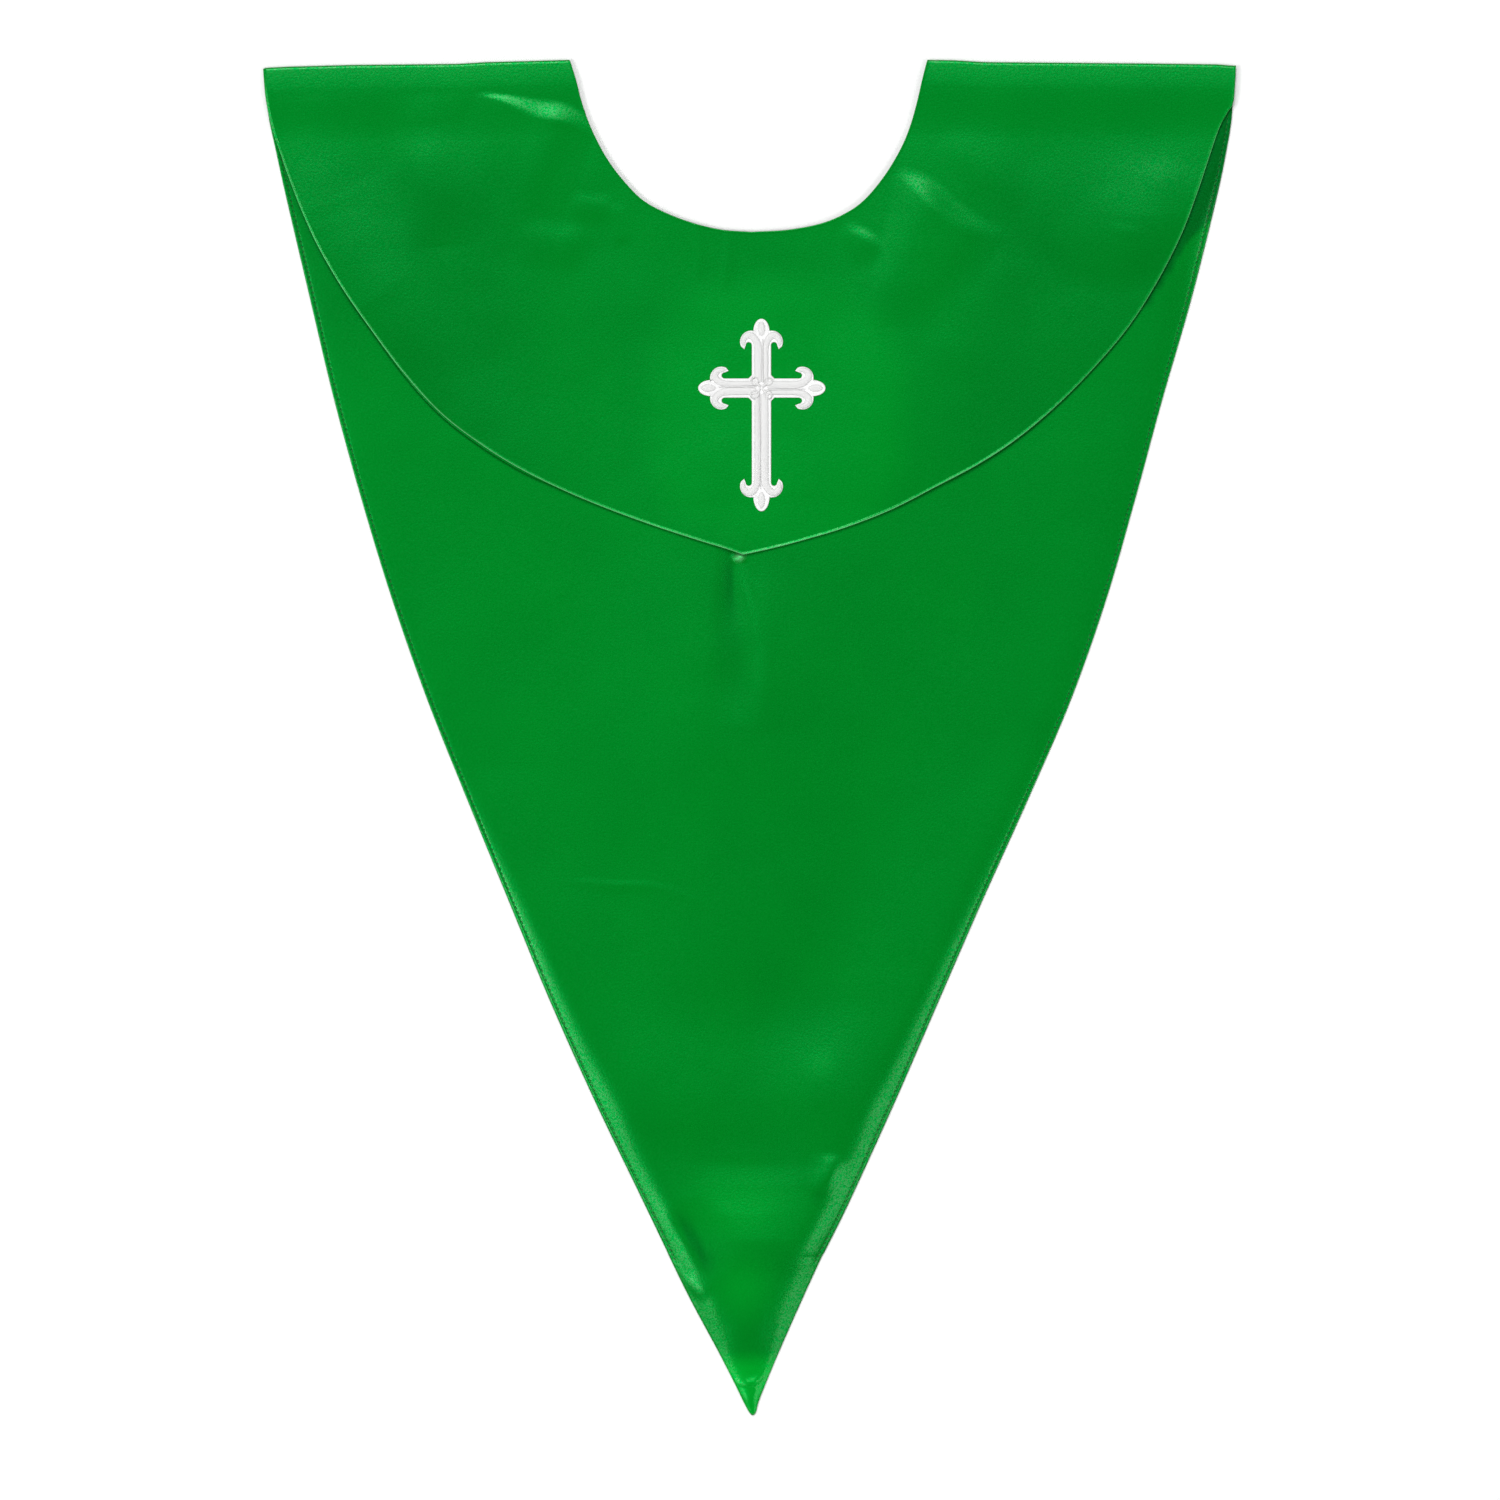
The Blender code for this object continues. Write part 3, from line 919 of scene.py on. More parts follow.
@dataclass(frozen=True)
class EdgeSeam:
    """The long panel's turned edge: padded up to the stitches, drawn in at them and puckered."""

    pad: float = 0.08
    pad_inset: float = 1.2
    pad_width: float = 0.9
    groove: float = 0.17
    groove_width: float = 0.55
    pucker: float = 0.07
    pucker_start: float = 0.5
    pucker_reach: float = 4.5
    long_wave: float = 6.3
    short_wave: float = 4.1
    short_share: float = 0.5
    short_shift: float = 0.7
    drift_length: float = 17.0
    drift: float = 1.3

    def height(self, inside: Array, along: Array, stitched: Array) -> Array:
        """How far the seam raises the edge.

        Args:
            inside: distance in from the edge.
            along: distance along the edge.
            stitched: 1 where the edge is topstitched, 0 elsewhere.

        Returns:
            The rise at each point.
        """
        pad = self.pad * bell((inside - self.pad_inset) / self.pad_width)
        groove = self.groove * stitched * bell((inside - STITCH_INSET) / self.groove_width)
        drift = self.drift * np.sin(along / self.drift_length)
        long = np.sin(along * 2 * math.pi / self.long_wave + drift)
        short = np.sin(along * 2 * math.pi / self.short_wave + self.short_shift)
        ripple = long + self.short_share * short
        near = bell(inside / self.pucker_reach) * (1.0 - bell(inside / self.pucker_start))
        return pad - groove + self.pucker * ripple * near * stitched


@dataclass
class LongPanel:
    """The long pointed panel that lies underneath, with its rolled and topstitched edges.

    top is the height of its upper face where it lies flat. Its rows run from the shoulder seam
    to the point. Its columns run from a side edge to the middle or the V neck: first at
    edge_offsets, then wide apart, then close together again. The underside has one column
    for under_each of the face's.
    """

    cloth: float = 1.1
    top: float = 1.2
    edge_round: float = 0.55
    tip_round: float = 2.0

    # Side edges and the hidden V neck
    levels: tuple[EdgeLevel, ...] = (
        EdgeLevel(424.0, -314.4, 314.2),
        EdgeLevel(402.7, -312.4, 313.4),
        EdgeLevel(381.9, -308.0, 310.1),
        EdgeLevel(349.4, -300.8, 303.3),
        EdgeLevel(284.4, -285.5, 287.0),
        EdgeLevel(219.4, -270.0, 268.2),
        EdgeLevel(154.4, -252.1, 250.5),
        EdgeLevel(89.4, -232.2, 231.7),
        EdgeLevel(24.4, -209.4, 208.8),
        EdgeLevel(-40.6, -183.4, 180.8),
        EdgeLevel(-105.6, -156.8, 151.5),
        EdgeLevel(-170.6, -130.0, 123.2),
        EdgeLevel(-235.6, -100.9, 95.0),
        EdgeLevel(-300.6, -69.6, 65.4),
        EdgeLevel(-333.0, -54.1, 49.4),
        EdgeLevel(-337.5, -52.1, 46.9),
        EdgeLevel(-365.6, -38.3, 34.0),
        EdgeLevel(-398.1, -20.8, 19.6),
        EdgeLevel(-419.6, -9.8, 10.6),
        EdgeLevel(-432.0, -3.8, 5.8),
        EdgeLevel(-438.6, -0.2, 4.2),
        EdgeLevel(-440.4, 1.4, 2.8),
    )
    neck_levels: tuple[Place, ...] = (
        Place(114.2, 426.4),
        Place(111.6, 414.0),
        Place(108.4, 401.0),
        Place(103.8, 388.0),
        Place(98.2, 375.0),
        Place(85.6, 349.0),
        Place(44.1, 240.0),
        Place(0.0, 124.5),
    )
    neck_shift: float = -5.5
    seam_gap: float = 0.3
    tilt_fade: float = 30.0

    # Rows and columns
    row_step: float = 1.7
    edge_offsets: tuple[float, ...] = (
        0.0, 0.12, 0.32, 0.6, 1.0, 1.4, 1.8, 2.1, 2.4, 2.8, 3.4, 4.4, 5.8, 7.6,
        9.8, 12.4, 15.4, 19.0, 23.0, 28.0, 34.0, 41.0,
    )
    wide_columns: int = 40
    fine_columns: int = 12
    fine_reach: float = 26.0
    under_each: int = 4
    middle_sink: float = 1.0
    full_offsets_from: float = 58.0

    # How the cloth lies
    waves: SlowWaves = PANEL_WAVES
    folds: tuple[Fold, ...] = PANEL_FOLDS
    pleats: tuple[Fold, ...] = PANEL_PLEATS
    roll_fade: float = 90.0
    roll_share: float = 0.55
    edge_reach: float = 26.0
    edge_share: float = 0.45
    shoulder_calm: Ramp = Ramp(296.0, 116.0)
    calm: float = 0.9

    # Painted shadow on the straps, painted light on the left, painted sheen, and a painted
    # highlight at the pleat's top
    strap_painted_shadow: float = 0.48
    strap_soft: float = 5.0
    strap_across: Ramp = Ramp(240.0, 8.0)
    left_strap_painted_shade: float = 0.14
    left_up: Ramp = Ramp(235.0, 50.0)
    left_across: Ramp = Ramp(-200.0, -30.0)
    painted_sheen: float = 0.34
    tip_painted_sheen: float = 2.3
    tip: Ramp = Ramp(-396.0, -16.0)
    left_painted_light: float = 0.05
    light_across: Ramp = Ramp(20.0, -60.0)
    light_level: float = 0.6
    pleat_painted_highlight: Patch = Patch(-6.6, 117.2, 3.0, 2.6, 0.75, 0.4)

    # Topstitching
    stitch_low: float = -342.0
    stitch_high: float = 404.0
    stitch_fade: float = 3.0
    edge_seam: EdgeSeam = EdgeSeam()

    def __post_init__(self) -> None:
        """Works out the outlines."""
        self.left = smooth_path([(level.left, level.y) for level in self.levels])
        self.right = smooth_path([(level.right, level.y) for level in self.levels])
        self.neck = smooth_path(self.neck_levels)

    def edge(self, side: Side) -> Array:
        """The outline of one side, from the shoulder to the point."""
        return self.left if side is Side.LEFT else self.right

    def lie(self, x: Array, y: Array) -> Array:
        """How far the broad folds and the edges raise the panel above its flat lie."""
        return self._raised(folds_height(self.folds, x, y), x, y)

    def relief(self, x: Array, y: Array) -> Array:
        """How far all folds raise the panel, the narrow pleats too."""
        return self._raised(folds_height(self.folds + self.pleats, x, y), x, y)

    def _raised(self, folds: Array, x: Array, y: Array) -> Array:
        """Folds and waves, never below the flat lie, with the edges' own shape."""
        width = self._width(y)
        inside = np.minimum(x - x_at(self.left, y), x_at(self.right, y) - x)
        reach = np.minimum(self.edge_reach, self.edge_share * width + 0.5)
        lying = np.maximum(folds + self.waves.height(x, y), 0.0) * risen(inside / reach)
        rolls = self.edge_roll(Side.LEFT, x, y) + self.edge_roll(Side.RIGHT, x, y)
        return (lying + rolls) * (1.0 - self.calm * self.shoulder_calm.at(y))

    def _width(self, y: Array) -> Array:
        """The panel's width at each height."""
        return x_at(self.right, y) - x_at(self.left, y)

    def edge_roll(self, side: Side, x: Array, y: Array) -> Array:
        """How far the cloth stands up beside an edge that rolls down to the table."""
        table = LEFT_ROLL if side is Side.LEFT else RIGHT_ROLL
        inside = (x - x_at(self.edge(side), y)) * -side.value
        heights = [row.y for row in table][::-1]
        drop = np.interp(y, heights, [row.drop for row in table][::-1])
        width = np.interp(y, heights, [row.drop_width for row in table][::-1])
        fade = np.maximum(np.minimum(self.roll_fade, self.roll_share * self._width(y)), 1.0)
        return drop * risen(inside / width) * (1.0 - ease((inside - width) / fade))

    def stitched(self, y: Array) -> Array:
        """1 where the edge is topstitched, 0 at the tip and under the shoulder roll."""
        low = Ramp(self.stitch_low, self.stitch_fade).at(y)
        return low * Ramp(self.stitch_high, -self.stitch_fade).at(y)

    def tone(self, x: Array, y: Array) -> Array:
        """Share by which the cloth is painted lighter, or darker where it is below 0: painted
        shadow on the straps, painted shade in creases, painted sheen and painted light.
        """
        right = ease((y - listed(STRAP_SHADOW_START, x)) / self.strap_soft) * self.strap_across.at(x)
        left = self.left_up.at(y) * self.left_across.at(x)
        shade = self.strap_painted_shadow * right + self.left_strap_painted_shade * left
        shade -= self.left_painted_light * (self.light_across.at(x) - self.light_level)
        painted_sheen = sum(patch.at(x, y) for patch in PAINTED_SHEEN_PATCHES) + self.tip_painted_sheen * self.tip.at(y)
        return folds_height(PAINTED_CREASE_SHADE, x, y) + self.painted_sheen * painted_sheen - shade

    def rows(self) -> Array:
        """Heights of the rows, from the shoulder seam to the point."""
        high = self.levels[0].y
        low = self.levels[-1].y
        return np.linspace(high, low, int((high - low) / self.row_step) + 1)

    def half(self, side: Side, seam: Callable[[Array], Array]) -> dict[str, Array]:
        """Builds one half of the panel.

        Args:
            side: the half that is built.
            seam: the straight shoulder seam, as a height for each x.

        Returns:
            The points of the face and of the underside, and the values that the finish reads.
        """
        rows = self.rows()
        high, neck_low = self.levels[0].y, self.neck_levels[-1].y
        edge = self.edge(side)
        edge_x = x_at(edge, rows)
        inner_x = self._inner_ends(side, rows)
        inside = self._columns(np.abs(inner_x - edge_x))
        x = edge_x[:, None] - side.value * inside
        flat_y = np.broadcast_to(rows[:, None], x.shape)
        tilt = seam(x) - self.seam_gap - high
        y = flat_y + tilt * ease(1.0 - (high - flat_y) / self.tilt_fade)
        along = np.interp(rows, edge[::-1, 1], path_lengths(edge)[::-1])[:, None]
        along = np.broadcast_to(along, x.shape)
        on_neck = (np.abs(x - inner_x[:, None]) < SAME_PLACE) & (flat_y > neck_low)
        turned = np.where(on_neck, 0.0, self._half_cloth(inside, rows))
        stitched = self.stitched(y)
        middle = self.top - self.cloth / 2 + self.relief(x, y)
        sewn = self.edge_seam.height(inside, along, stitched) * turned / self.edge_round
        face_z = middle + turned + sewn
        under_z = np.where(turned < SAME_PLACE, face_z, self._underside(middle - turned))
        return {
            "face": np.stack([x, y, face_z], -1),
            "under": np.stack([x, y, under_z], -1),
            "edge_mm": inside,
            "along_mm": along,
            "stitched": stitched,
            # painted light and shade, and the painted highlight at the pleat's top
            "tone": self.tone(x, y),
            "taut": self.pleat_painted_highlight.at(x, y),
        }

    def _inner_ends(self, side: Side, rows: Array) -> Array:
        """Where each row ends: on the V neck, and below the neck on the middle line."""
        neck_low, tip = self.neck_levels[-1].y, self.levels[-1]
        high = self.levels[0].y
        tip_x = (tip.left + tip.right) / 2
        shift = self.neck_shift * np.minimum(1.0, (high - rows) / (high - neck_low))
        down = np.clip((neck_low - rows) / (neck_low - tip.y), 0.0, 1.0)
        middle = self.neck_shift + (tip_x - self.neck_shift) * down
        return np.where(rows > neck_low, shift + side.value * x_at(self.neck, rows), middle)

    def _columns(self, width: Array) -> Array:
        """Distances in from the edge of the columns, for rows of these widths."""
        scale = np.minimum(1.0, width / self.full_offsets_from)[:, None]
        near = np.asarray(self.edge_offsets)[None, :] * scale
        room = width[:, None] - near[:, -1:]
        fine = np.minimum(self.fine_reach, room / 2)
        wide_share = np.linspace(0.0, 1.0, self.wide_columns + 1)[None, 1:]
        fine_share = np.linspace(0.0, 1.0, self.fine_columns + 1)[None, 1:]
        far = near[:, -1:] + (room - fine) * wide_share
        return np.hstack([near, far, far[:, -1:] + fine * fine_share])

    def _half_cloth(self, inside: Array, rows: Array) -> Array:
        """Half of the cloth's thickness, rounded down to 0 at the edges, seam and point."""
        rim = self.edge_round
        turned = np.sqrt(rim**2 - np.clip(rim - inside, 0.0, rim) ** 2)
        from_top = (self.levels[0].y - rows)[:, None]
        from_tip = (rows - self.levels[-1].y)[:, None]
        turned = turned * np.sqrt(np.clip(from_top / rim, 0.0, 1.0))
        return turned * np.sqrt(np.clip(from_tip / self.tip_round, 0.0, 1.0))

    def _underside(self, deep: Array) -> Array:
        """Heights of the underside, low enough for the face's columns that it passes over."""
        under = deep.copy()
        for shift in range(1, self.under_each):
            under[:, shift:] = np.minimum(under[:, shift:], deep[:, :-shift])
            under[:, :-shift] = np.minimum(under[:, :-shift], deep[:, shift:])
        under[:, -1] = deep[:, -1] - self.middle_sink
        return np.maximum(under, ABOVE_TABLE)

    def build(
        self, seam: Callable[[Array], Array], material: bpy.types.Material
    ) -> bpy.types.Object:
        """Builds the panel.

        Args:
            seam: the straight shoulder seam, as a height for each x.
            material: its finish.

        Returns:
            The panel as a closed shell.
        """
        maker = MeshMaker("long_panel_cloth")
        for side in Side:
            half = self.half(side, seam)
            names = ("edge_mm", "along_mm", "stitched", "tone", "taut")
            values = {key: half[key] for key in names}
            flip = side is Side.LEFT
            face = maker.add_points(half["face"], **values)
            maker.add_grid(face, flip)
            last = face.shape[1] - 1
            picked = list(range(0, last, self.under_each)) + [last]
            under = maker.add_points(
                half["under"][:, picked], **{key: values[key][:, picked] for key in values}
            )
            maker.add_grid(under[1:-1], not flip)
            for row, edge in ((under[1], face[0]), (under[-2], face[-1])):
                turned = flip if row is under[1] else not flip
                for number, (start, stop) in enumerate(zip(picked, picked[1:])):
                    corners = [row[number], row[number + 1], *edge[start : stop + 1][::-1]]
                    maker.add_face(corners, turned)
        return maker.make(material)


YOKE_WAVES = SlowWaves(7, (Net(78.0, 0.8, 31.0), Net(36.0, 0.30, 12.0), Net(15.0, 0.10, 40.0)))

YOKE_FOLDS = (
    laid(
        (-178.0, 418.0, 0.0, 3.0, 40.0),
        (-160.0, 412.5, 1.1, 6.0, 80.0),
        (-141.0, 403.5, 1.8, 12.5, 90.0),
        (-126.0, 400.5, 2.4, 13.5, 90.0),
        (-112.0, 396.5, 1.5, 11.0, 80.0),
        (-101.0, 390.0, 0.6, 9.0, 70.0),
        crisp=0.45,
        ends=(4.0, 30.0),
    ),
    laid(
        (-212.0, 398.0, 0.7, 40.0, 25.0),
        (-210.0, 372.0, 1.6, 44.0, 28.0),
        (-206.0, 350.0, 1.4, 44.0, 26.0),
        (-204.0, 318.0, 0.0, 40.0, 24.0),
        ends=(24.0, 24.0),
    ),
    laid(
        (-290.0, 398.0, 0.25, 46.0, 26.0),
        (-287.0, 385.0, 0.4, 46.0, 26.0),
        (-282.0, 365.0, 0.5, 46.0, 26.0),
        (-270.0, 340.0, 0.0, 40.0, 26.0),
        ends=(26.0, 24.0),
    ),
    laid(
        (-268.0, 352.0, 0.0, 60.0, 30.0),
        (-245.0, 312.0, 0.6, 70.0, 36.0),
        (-216.0, 268.0, 0.5, 70.0, 36.0),
        (-186.0, 236.0, 0.0, 60.0, 28.0),
    ),
    laid(
        (-108.0, 346.0, 0.4, 10.0, 14.0),
        (-97.0, 345.0, 0.4, 10.0, 14.0),
    ),
    laid(
        (-138.0, 324.0, 0.6, 16.0, 22.0),
        (-120.0, 322.0, 0.6, 16.0, 22.0),
    ),
    laid(
        (100.0, 340.0, 0.6, 110.0, 60.0),
        (103.0, 270.0, 1.8, 120.0, 60.0),
        (98.0, 200.0, 1.6, 120.0, 60.0),
        (85.0, 150.0, 0.3, 80.0, 50.0),
    ),
    laid(
        (-88.0, 340.0, 0.3, 12.0, 5.0),
        (-86.0, 326.0, 0.3, 12.0, 5.0),
    ),
    laid(
        (95.0, 366.0, 0.0, 8.0, 8.0),
        (102.0, 359.0, 0.9, 12.0, 26.0),
        (109.0, 352.0, 1.8, 16.0, 56.0),
        (116.5, 344.5, 2.3, 17.5, 80.0),
        (126.5, 336.5, 2.1, 16.5, 90.0),
        (139.0, 329.0, 1.5, 15.0, 90.0),
        (152.0, 325.0, 0.5, 12.0, 80.0),
        (165.0, 324.0, 0.0, 8.0, 60.0),
        crisp=0.2,
        ends=(4.0, 10.0),
    ),
    laid(
        (124.0, 388.0, 0.0, 26.0, 16.0),
        (144.0, 378.0, 0.45, 30.0, 20.0),
        (162.0, 364.0, 0.45, 30.0, 20.0),
        (180.0, 348.0, 0.0, 24.0, 16.0),
    ),
    laid(
        (175.0, 340.0, 0.2, 40.0, 30.0),
        (206.0, 333.0, 1.0, 60.0, 42.0),
        (246.0, 331.0, 1.7, 66.0, 46.0),
        (284.0, 344.0, 0.5, 50.0, 30.0),
    ),
    laid(
        (250.0, 366.0, 0.0, 16.0, 20.0),
        (272.0, 361.0, 0.25, 18.0, 22.0),
        (289.0, 358.0, 0.1, 16.0, 20.0),
    ),
    laid(
        (232.0, 333.0, 0.0, 3.0, 8.0),
        (246.0, 329.5, 0.14, 3.0, 8.0),
        (257.0, 327.0, 0.0, 3.0, 8.0),
    ),
    laid(
        (60.0, 331.0, 0.0, 6.0, 8.0),
        (68.0, 327.0, 0.6, 7.5, 14.0),
        (76.0, 322.5, 0.7, 8.0, 20.0),
        (86.0, 316.0, 0.0, 6.0, 16.0),
        crisp=0.2,
        ends=(4.0, 6.0),
    ),
    laid(
        (90.0, 330.0, 0.5, 50.0, 25.0),
        (90.0, 296.0, 0.8, 50.0, 28.0),
        (88.0, 266.0, 0.0, 46.0, 26.0),
    ),
    laid(
        (-34.0, 332.0, 0.3, 9.0, 4.5),
        (-33.0, 312.0, 0.3, 9.0, 4.5),
        (-32.0, 296.0, 0.0, 9.0, 4.5),
    ),
    laid(
        (-14.0, 328.0, 0.25, 9.0, 4.5),
        (-15.0, 306.0, 0.25, 9.0, 4.5),
        (-17.0, 290.0, 0.0, 9.0, 4.5),
    ),
)


@dataclass
class ShortYoke:
    """The short yoke: a round neckline, a rounded hem with a soft point, rolled shoulders.

    top is the height of its upper face where it lies flat. Its sections run from the neckline
    to the hem, first over the shoulder's roll and its crest, then ring_steps on each half
    round to the middle. A backing behind the cross makes the satin a little lighter.
    """

    cloth: float = 1.05
    top: float = 2.7

    # Shoulder: the roll, its crest and the flap that is turned under
    roll_radius: float = 1.7
    arc_end: float = 74.0
    arc_steps: int = 14
    crest_back: float = 16.0
    crest_height: float = 4.1
    crest_power: float = 1.5
    crest_steps: int = 14
    crest_fade: float = 34.0
    seam_back: float = 14.0
    flap_steps: int = 5

    # How the cloth lies below the shoulder
    hem_reach: float = 80.0
    wave_fade: float = 75.0
    lift_fade: float = 90.0
    fold_fade: float = 8.0
    settle: float = 0.5
    waves: SlowWaves = YOKE_WAVES
    folds: tuple[Fold, ...] = YOKE_FOLDS
    panel: LongPanel = field(default_factory=LongPanel)

    # Beads of the seams along the edges
    bead_in: float = 0.5
    bead_width: float = 0.65
    rim_bead: float = 0.25
    neck_bead: float = 0.12

    # Lighter satin over the backing, painted shade towards the sides and a painted highlight along
    # the hem
    backing: Place = Place(17.0, 210.0)
    backing_half: Place = Place(83.0, 88.0)
    backing_power: float = 2.6
    backing_edge: float = 0.34
    backing_tone: float = 0.16
    side_painted_shade: float = 0.13
    side_across: Ramp = Ramp(110.0, 70.0)
    side_up: Ramp = Ramp(400.0, -40.0)
    taut_width: float = 0.6
    taut_edge: float = 0.8
    taut_below: tuple[float, float] = (388.0, 410.0)
    taut_fade: float = 24.0
    taut_middle: float = -40.0
    taut_across: Ramp = Ramp(260.0, -60.0)
    taut_least: float = 0.45

    # Sections and columns
    ring_steps: int = 216
    edge_columns: tuple[float, ...] = (
        0.45, 0.7, 0.95, 1.2, 1.5, 1.9, 2.5, 3.4, 4.8, 7.0, 10.5,
    )
    inner_columns: int = 74
    under_columns: int = 26

    # Shoulder folds, neckline and hem
    fold_left: tuple[Place, ...] = (
        Place(-316.2, 435.2),
        Place(-300.0, 436.0),
        Place(-260.0, 437.1),
        Place(-190.0, 437.8),
        Place(-172.0, 438.9),
        Place(-116.7, 440.4),
    )
    fold_right: tuple[Place, ...] = (
        Place(115.4, 440.4),
        Place(133.0, 440.2),
        Place(152.0, 439.0),
        Place(258.0, 438.1),
        Place(304.0, 437.5),
        Place(316.2, 436.5),
    )
    neck_levels: tuple[EdgeLevel, ...] = (
        EdgeLevel(440.4, -116.7, 115.4),
        EdgeLevel(427.4, -112.7, 112.1),
        EdgeLevel(414.4, -109.4, 109.1),
        EdgeLevel(401.4, -105.0, 105.6),
        EdgeLevel(388.4, -99.3, 100.9),
        EdgeLevel(375.4, -92.0, 94.2),
        EdgeLevel(362.4, -82.3, 85.7),
        EdgeLevel(349.4, -69.5, 74.5),
        EdgeLevel(341.0, -54.3, 62.8),
        EdgeLevel(334.2, -36.0, 46.8),
        EdgeLevel(330.0, -17.7, 25.0),
    )
    neck_low: Place = Place(1.5, 328.6)
    hem_stations: tuple[HemStation, ...] = (
        HemStation(316.2, 435.2, 436.5),
        HemStation(314.4, 415.0, 413.5),
        HemStation(310.5, 396.2, 406.0),
        HemStation(305.0, 379.3, 395.2),
        HemStation(298.0, 359.8, 374.6),
        HemStation(290.0, 339.7, 351.0),
        HemStation(280.0, 318.2, 325.2),
        HemStation(265.0, 292.4, 296.0),
        HemStation(247.0, 266.3, 267.6),
        HemStation(225.0, 237.0, 241.3),
        HemStation(201.0, 210.8, 216.8),
        HemStation(175.0, 190.6, 194.8),
        HemStation(149.0, 174.4, 177.6),
        HemStation(120.0, 160.1, 162.2),
        HemStation(92.0, 148.4, 147.9),
        HemStation(62.0, 137.4, 136.2),
        HemStation(34.0, 128.2, 127.8),
        HemStation(14.0, 122.1, 122.6),
    )
    hem_point: Place = Place(-4.2, 118.6)

    # Along the hem, by x: its lift, its bead's height and the lip of lining that shows
    hem_lifts: tuple[Place, ...] = (
        Place(-312.0, 0.9),
        Place(-303.0, 1.6),
        Place(-290.0, 2.9),
        Place(-255.0, 3.8),
        Place(-200.0, 2.4),
        Place(-120.0, 1.2),
        Place(-40.0, 0.6),
        Place(0.0, 0.4),
        Place(60.0, 0.5),
        Place(110.0, 0.8),
        Place(170.0, 0.9),
        Place(230.0, 1.4),
        Place(270.0, 2.0),
        Place(290.0, 2.2),
        Place(303.0, 1.8),
        Place(311.0, 0.9),
    )
    beads: tuple[Place, ...] = (
        Place(-310.0, -0.5),
        Place(-235.0, -0.5),
        Place(-170.0, 0.22),
        Place(-100.0, 0.32),
        Place(40.0, 0.34),
        Place(85.0, 0.52),
        Place(125.0, 0.38),
        Place(310.0, 0.30),
    )
    lip_places: tuple[float, ...] = (-245.0, -218.0, -180.0, -145.0, -125.0)
    lips: tuple[float, ...] = (0.0, 0.9, 1.15, 0.9, 0.0)
    lips_below: float = 330.0
    rim_profile: tuple[RimPlace, ...] = (
        RimPlace(-0.25, 0.06, 0.0),
        RimPlace(-0.08, 0.22, 0.0),
        RimPlace(0.0, 0.44, 0.0),
        RimPlace(-0.10, 0.58, 0.15),
        RimPlace(-0.16, 0.66, 0.75),
        RimPlace(-0.05, 0.72, 1.0),
        RimPlace(0.0, 0.82, 1.0),
        RimPlace(-0.12, 0.95, 1.0),
        RimPlace(-0.40, 1.05, 1.0),
    )

    def __post_init__(self) -> None:
        """Works out the outlines."""
        neck_low, point = self.neck_low, self.hem_point
        self.neck = {
            Side.LEFT: smooth_path([(p.left, p.y) for p in self.neck_levels] + [neck_low]),
            Side.RIGHT: smooth_path([(p.right, p.y) for p in self.neck_levels] + [neck_low]),
        }
        self.hem = {
            Side.LEFT: smooth_path([(-p.out, p.left) for p in self.hem_stations] + [point]),
            Side.RIGHT: smooth_path([(p.out, p.right) for p in self.hem_stations] + [point]),
        }

    def fold_y(self, x: Array) -> Array:
        """How far up the shoulder fold lies."""
        return listed(self.fold_left + self.fold_right, x)

    def seam_y(self, x: Array) -> Array:
        """The straight shoulder seam on the underside."""
        ends = (self.fold_left[0], self.fold_left[-1], self.fold_right[0], self.fold_right[-1])
        return listed(ends, x) - self.seam_back

    def hem_lift(self, x: Array, y: Array) -> Array:
        """How far the hem stands up, carried into the cloth from the nearest place on it."""
        nearest = np.full(x.shape, np.inf)
        foot_x = np.zeros(x.shape)
        for path in self.hem.values():
            for start, end in zip(path, path[1:]):
                run = end - start
                share = ((x - start[0]) * run[0] + (y - start[1]) * run[1]) / run.dot(run)
                share = np.clip(share, 0.0, 1.0)
                at_x, at_y = start[0] + share * run[0], start[1] + share * run[1]
                apart = np.hypot(x - at_x, y - at_y)
                closer = apart < nearest
                nearest = np.where(closer, apart, nearest)
                foot_x = np.where(closer, at_x, foot_x)
        lift = listed(self.hem_lifts, foot_x)
        return lift * ease(1.0 - nearest / self.hem_reach)

    def height(self, x: Array, y: Array) -> Array:
        """The yoke's upper face: the shoulder crest, the lifted hem and the folds."""
        back = self.fold_y(x) - y
        crest = 1.0 - ease((back - self.crest_back) / self.crest_fade)
        lift = self.hem_lift(x, y) * ease((back - self.crest_back) / self.lift_fade)
        waves = self.waves.height(x, y) * ease((back - self.crest_back) / self.wave_fade)
        folds = folds_height(self.folds, x, y) * ease((back - self.crest_back) / self.fold_fade)
        lying = (1.0 - crest) * higher(lift, self.panel.lie(x, y), self.settle) + folds + waves
        return self.top + (self.crest_height - self.top) * crest + lying

    def columns(self, length: float) -> tuple[Array, Array]:
        """Distances from the neckline of the columns of one section.

        Args:
            length: the section's length from neckline to hem.

        Returns:
            The distances on the face, and those on the underside.
        """
        near = np.array(self.edge_columns)
        middle = np.linspace(near[-1], length - near[-1], self.inner_columns + 1)[1:-1]
        face = np.concatenate([near, middle, length - near[::-1]])
        return face, np.linspace(near[0], length - near[0], self.under_columns)[::-1]

    def roll_profile(self) -> list[tuple[float, float]]:
        """Distance back from the fold and height, from the underside round to the crest."""
        end = math.radians(self.arc_end)
        radius = self.roll_radius
        angles = np.linspace(-math.pi / 2, end, self.arc_steps + 1)
        arc = [(radius * (1 - math.cos(a)), radius * (1 + math.sin(a))) for a in angles]
        start_back, start_height = arc[-1]
        run = self.crest_back - start_back
        rise = []
        for t in np.linspace(0.0, 1.0, self.crest_steps + 1)[1:]:
            share = 1.0 - (1.0 - t) ** self.crest_power
            height = start_height + (self.crest_height - start_height) * share
            rise.append((start_back + run * t, height))
        return arc + rise

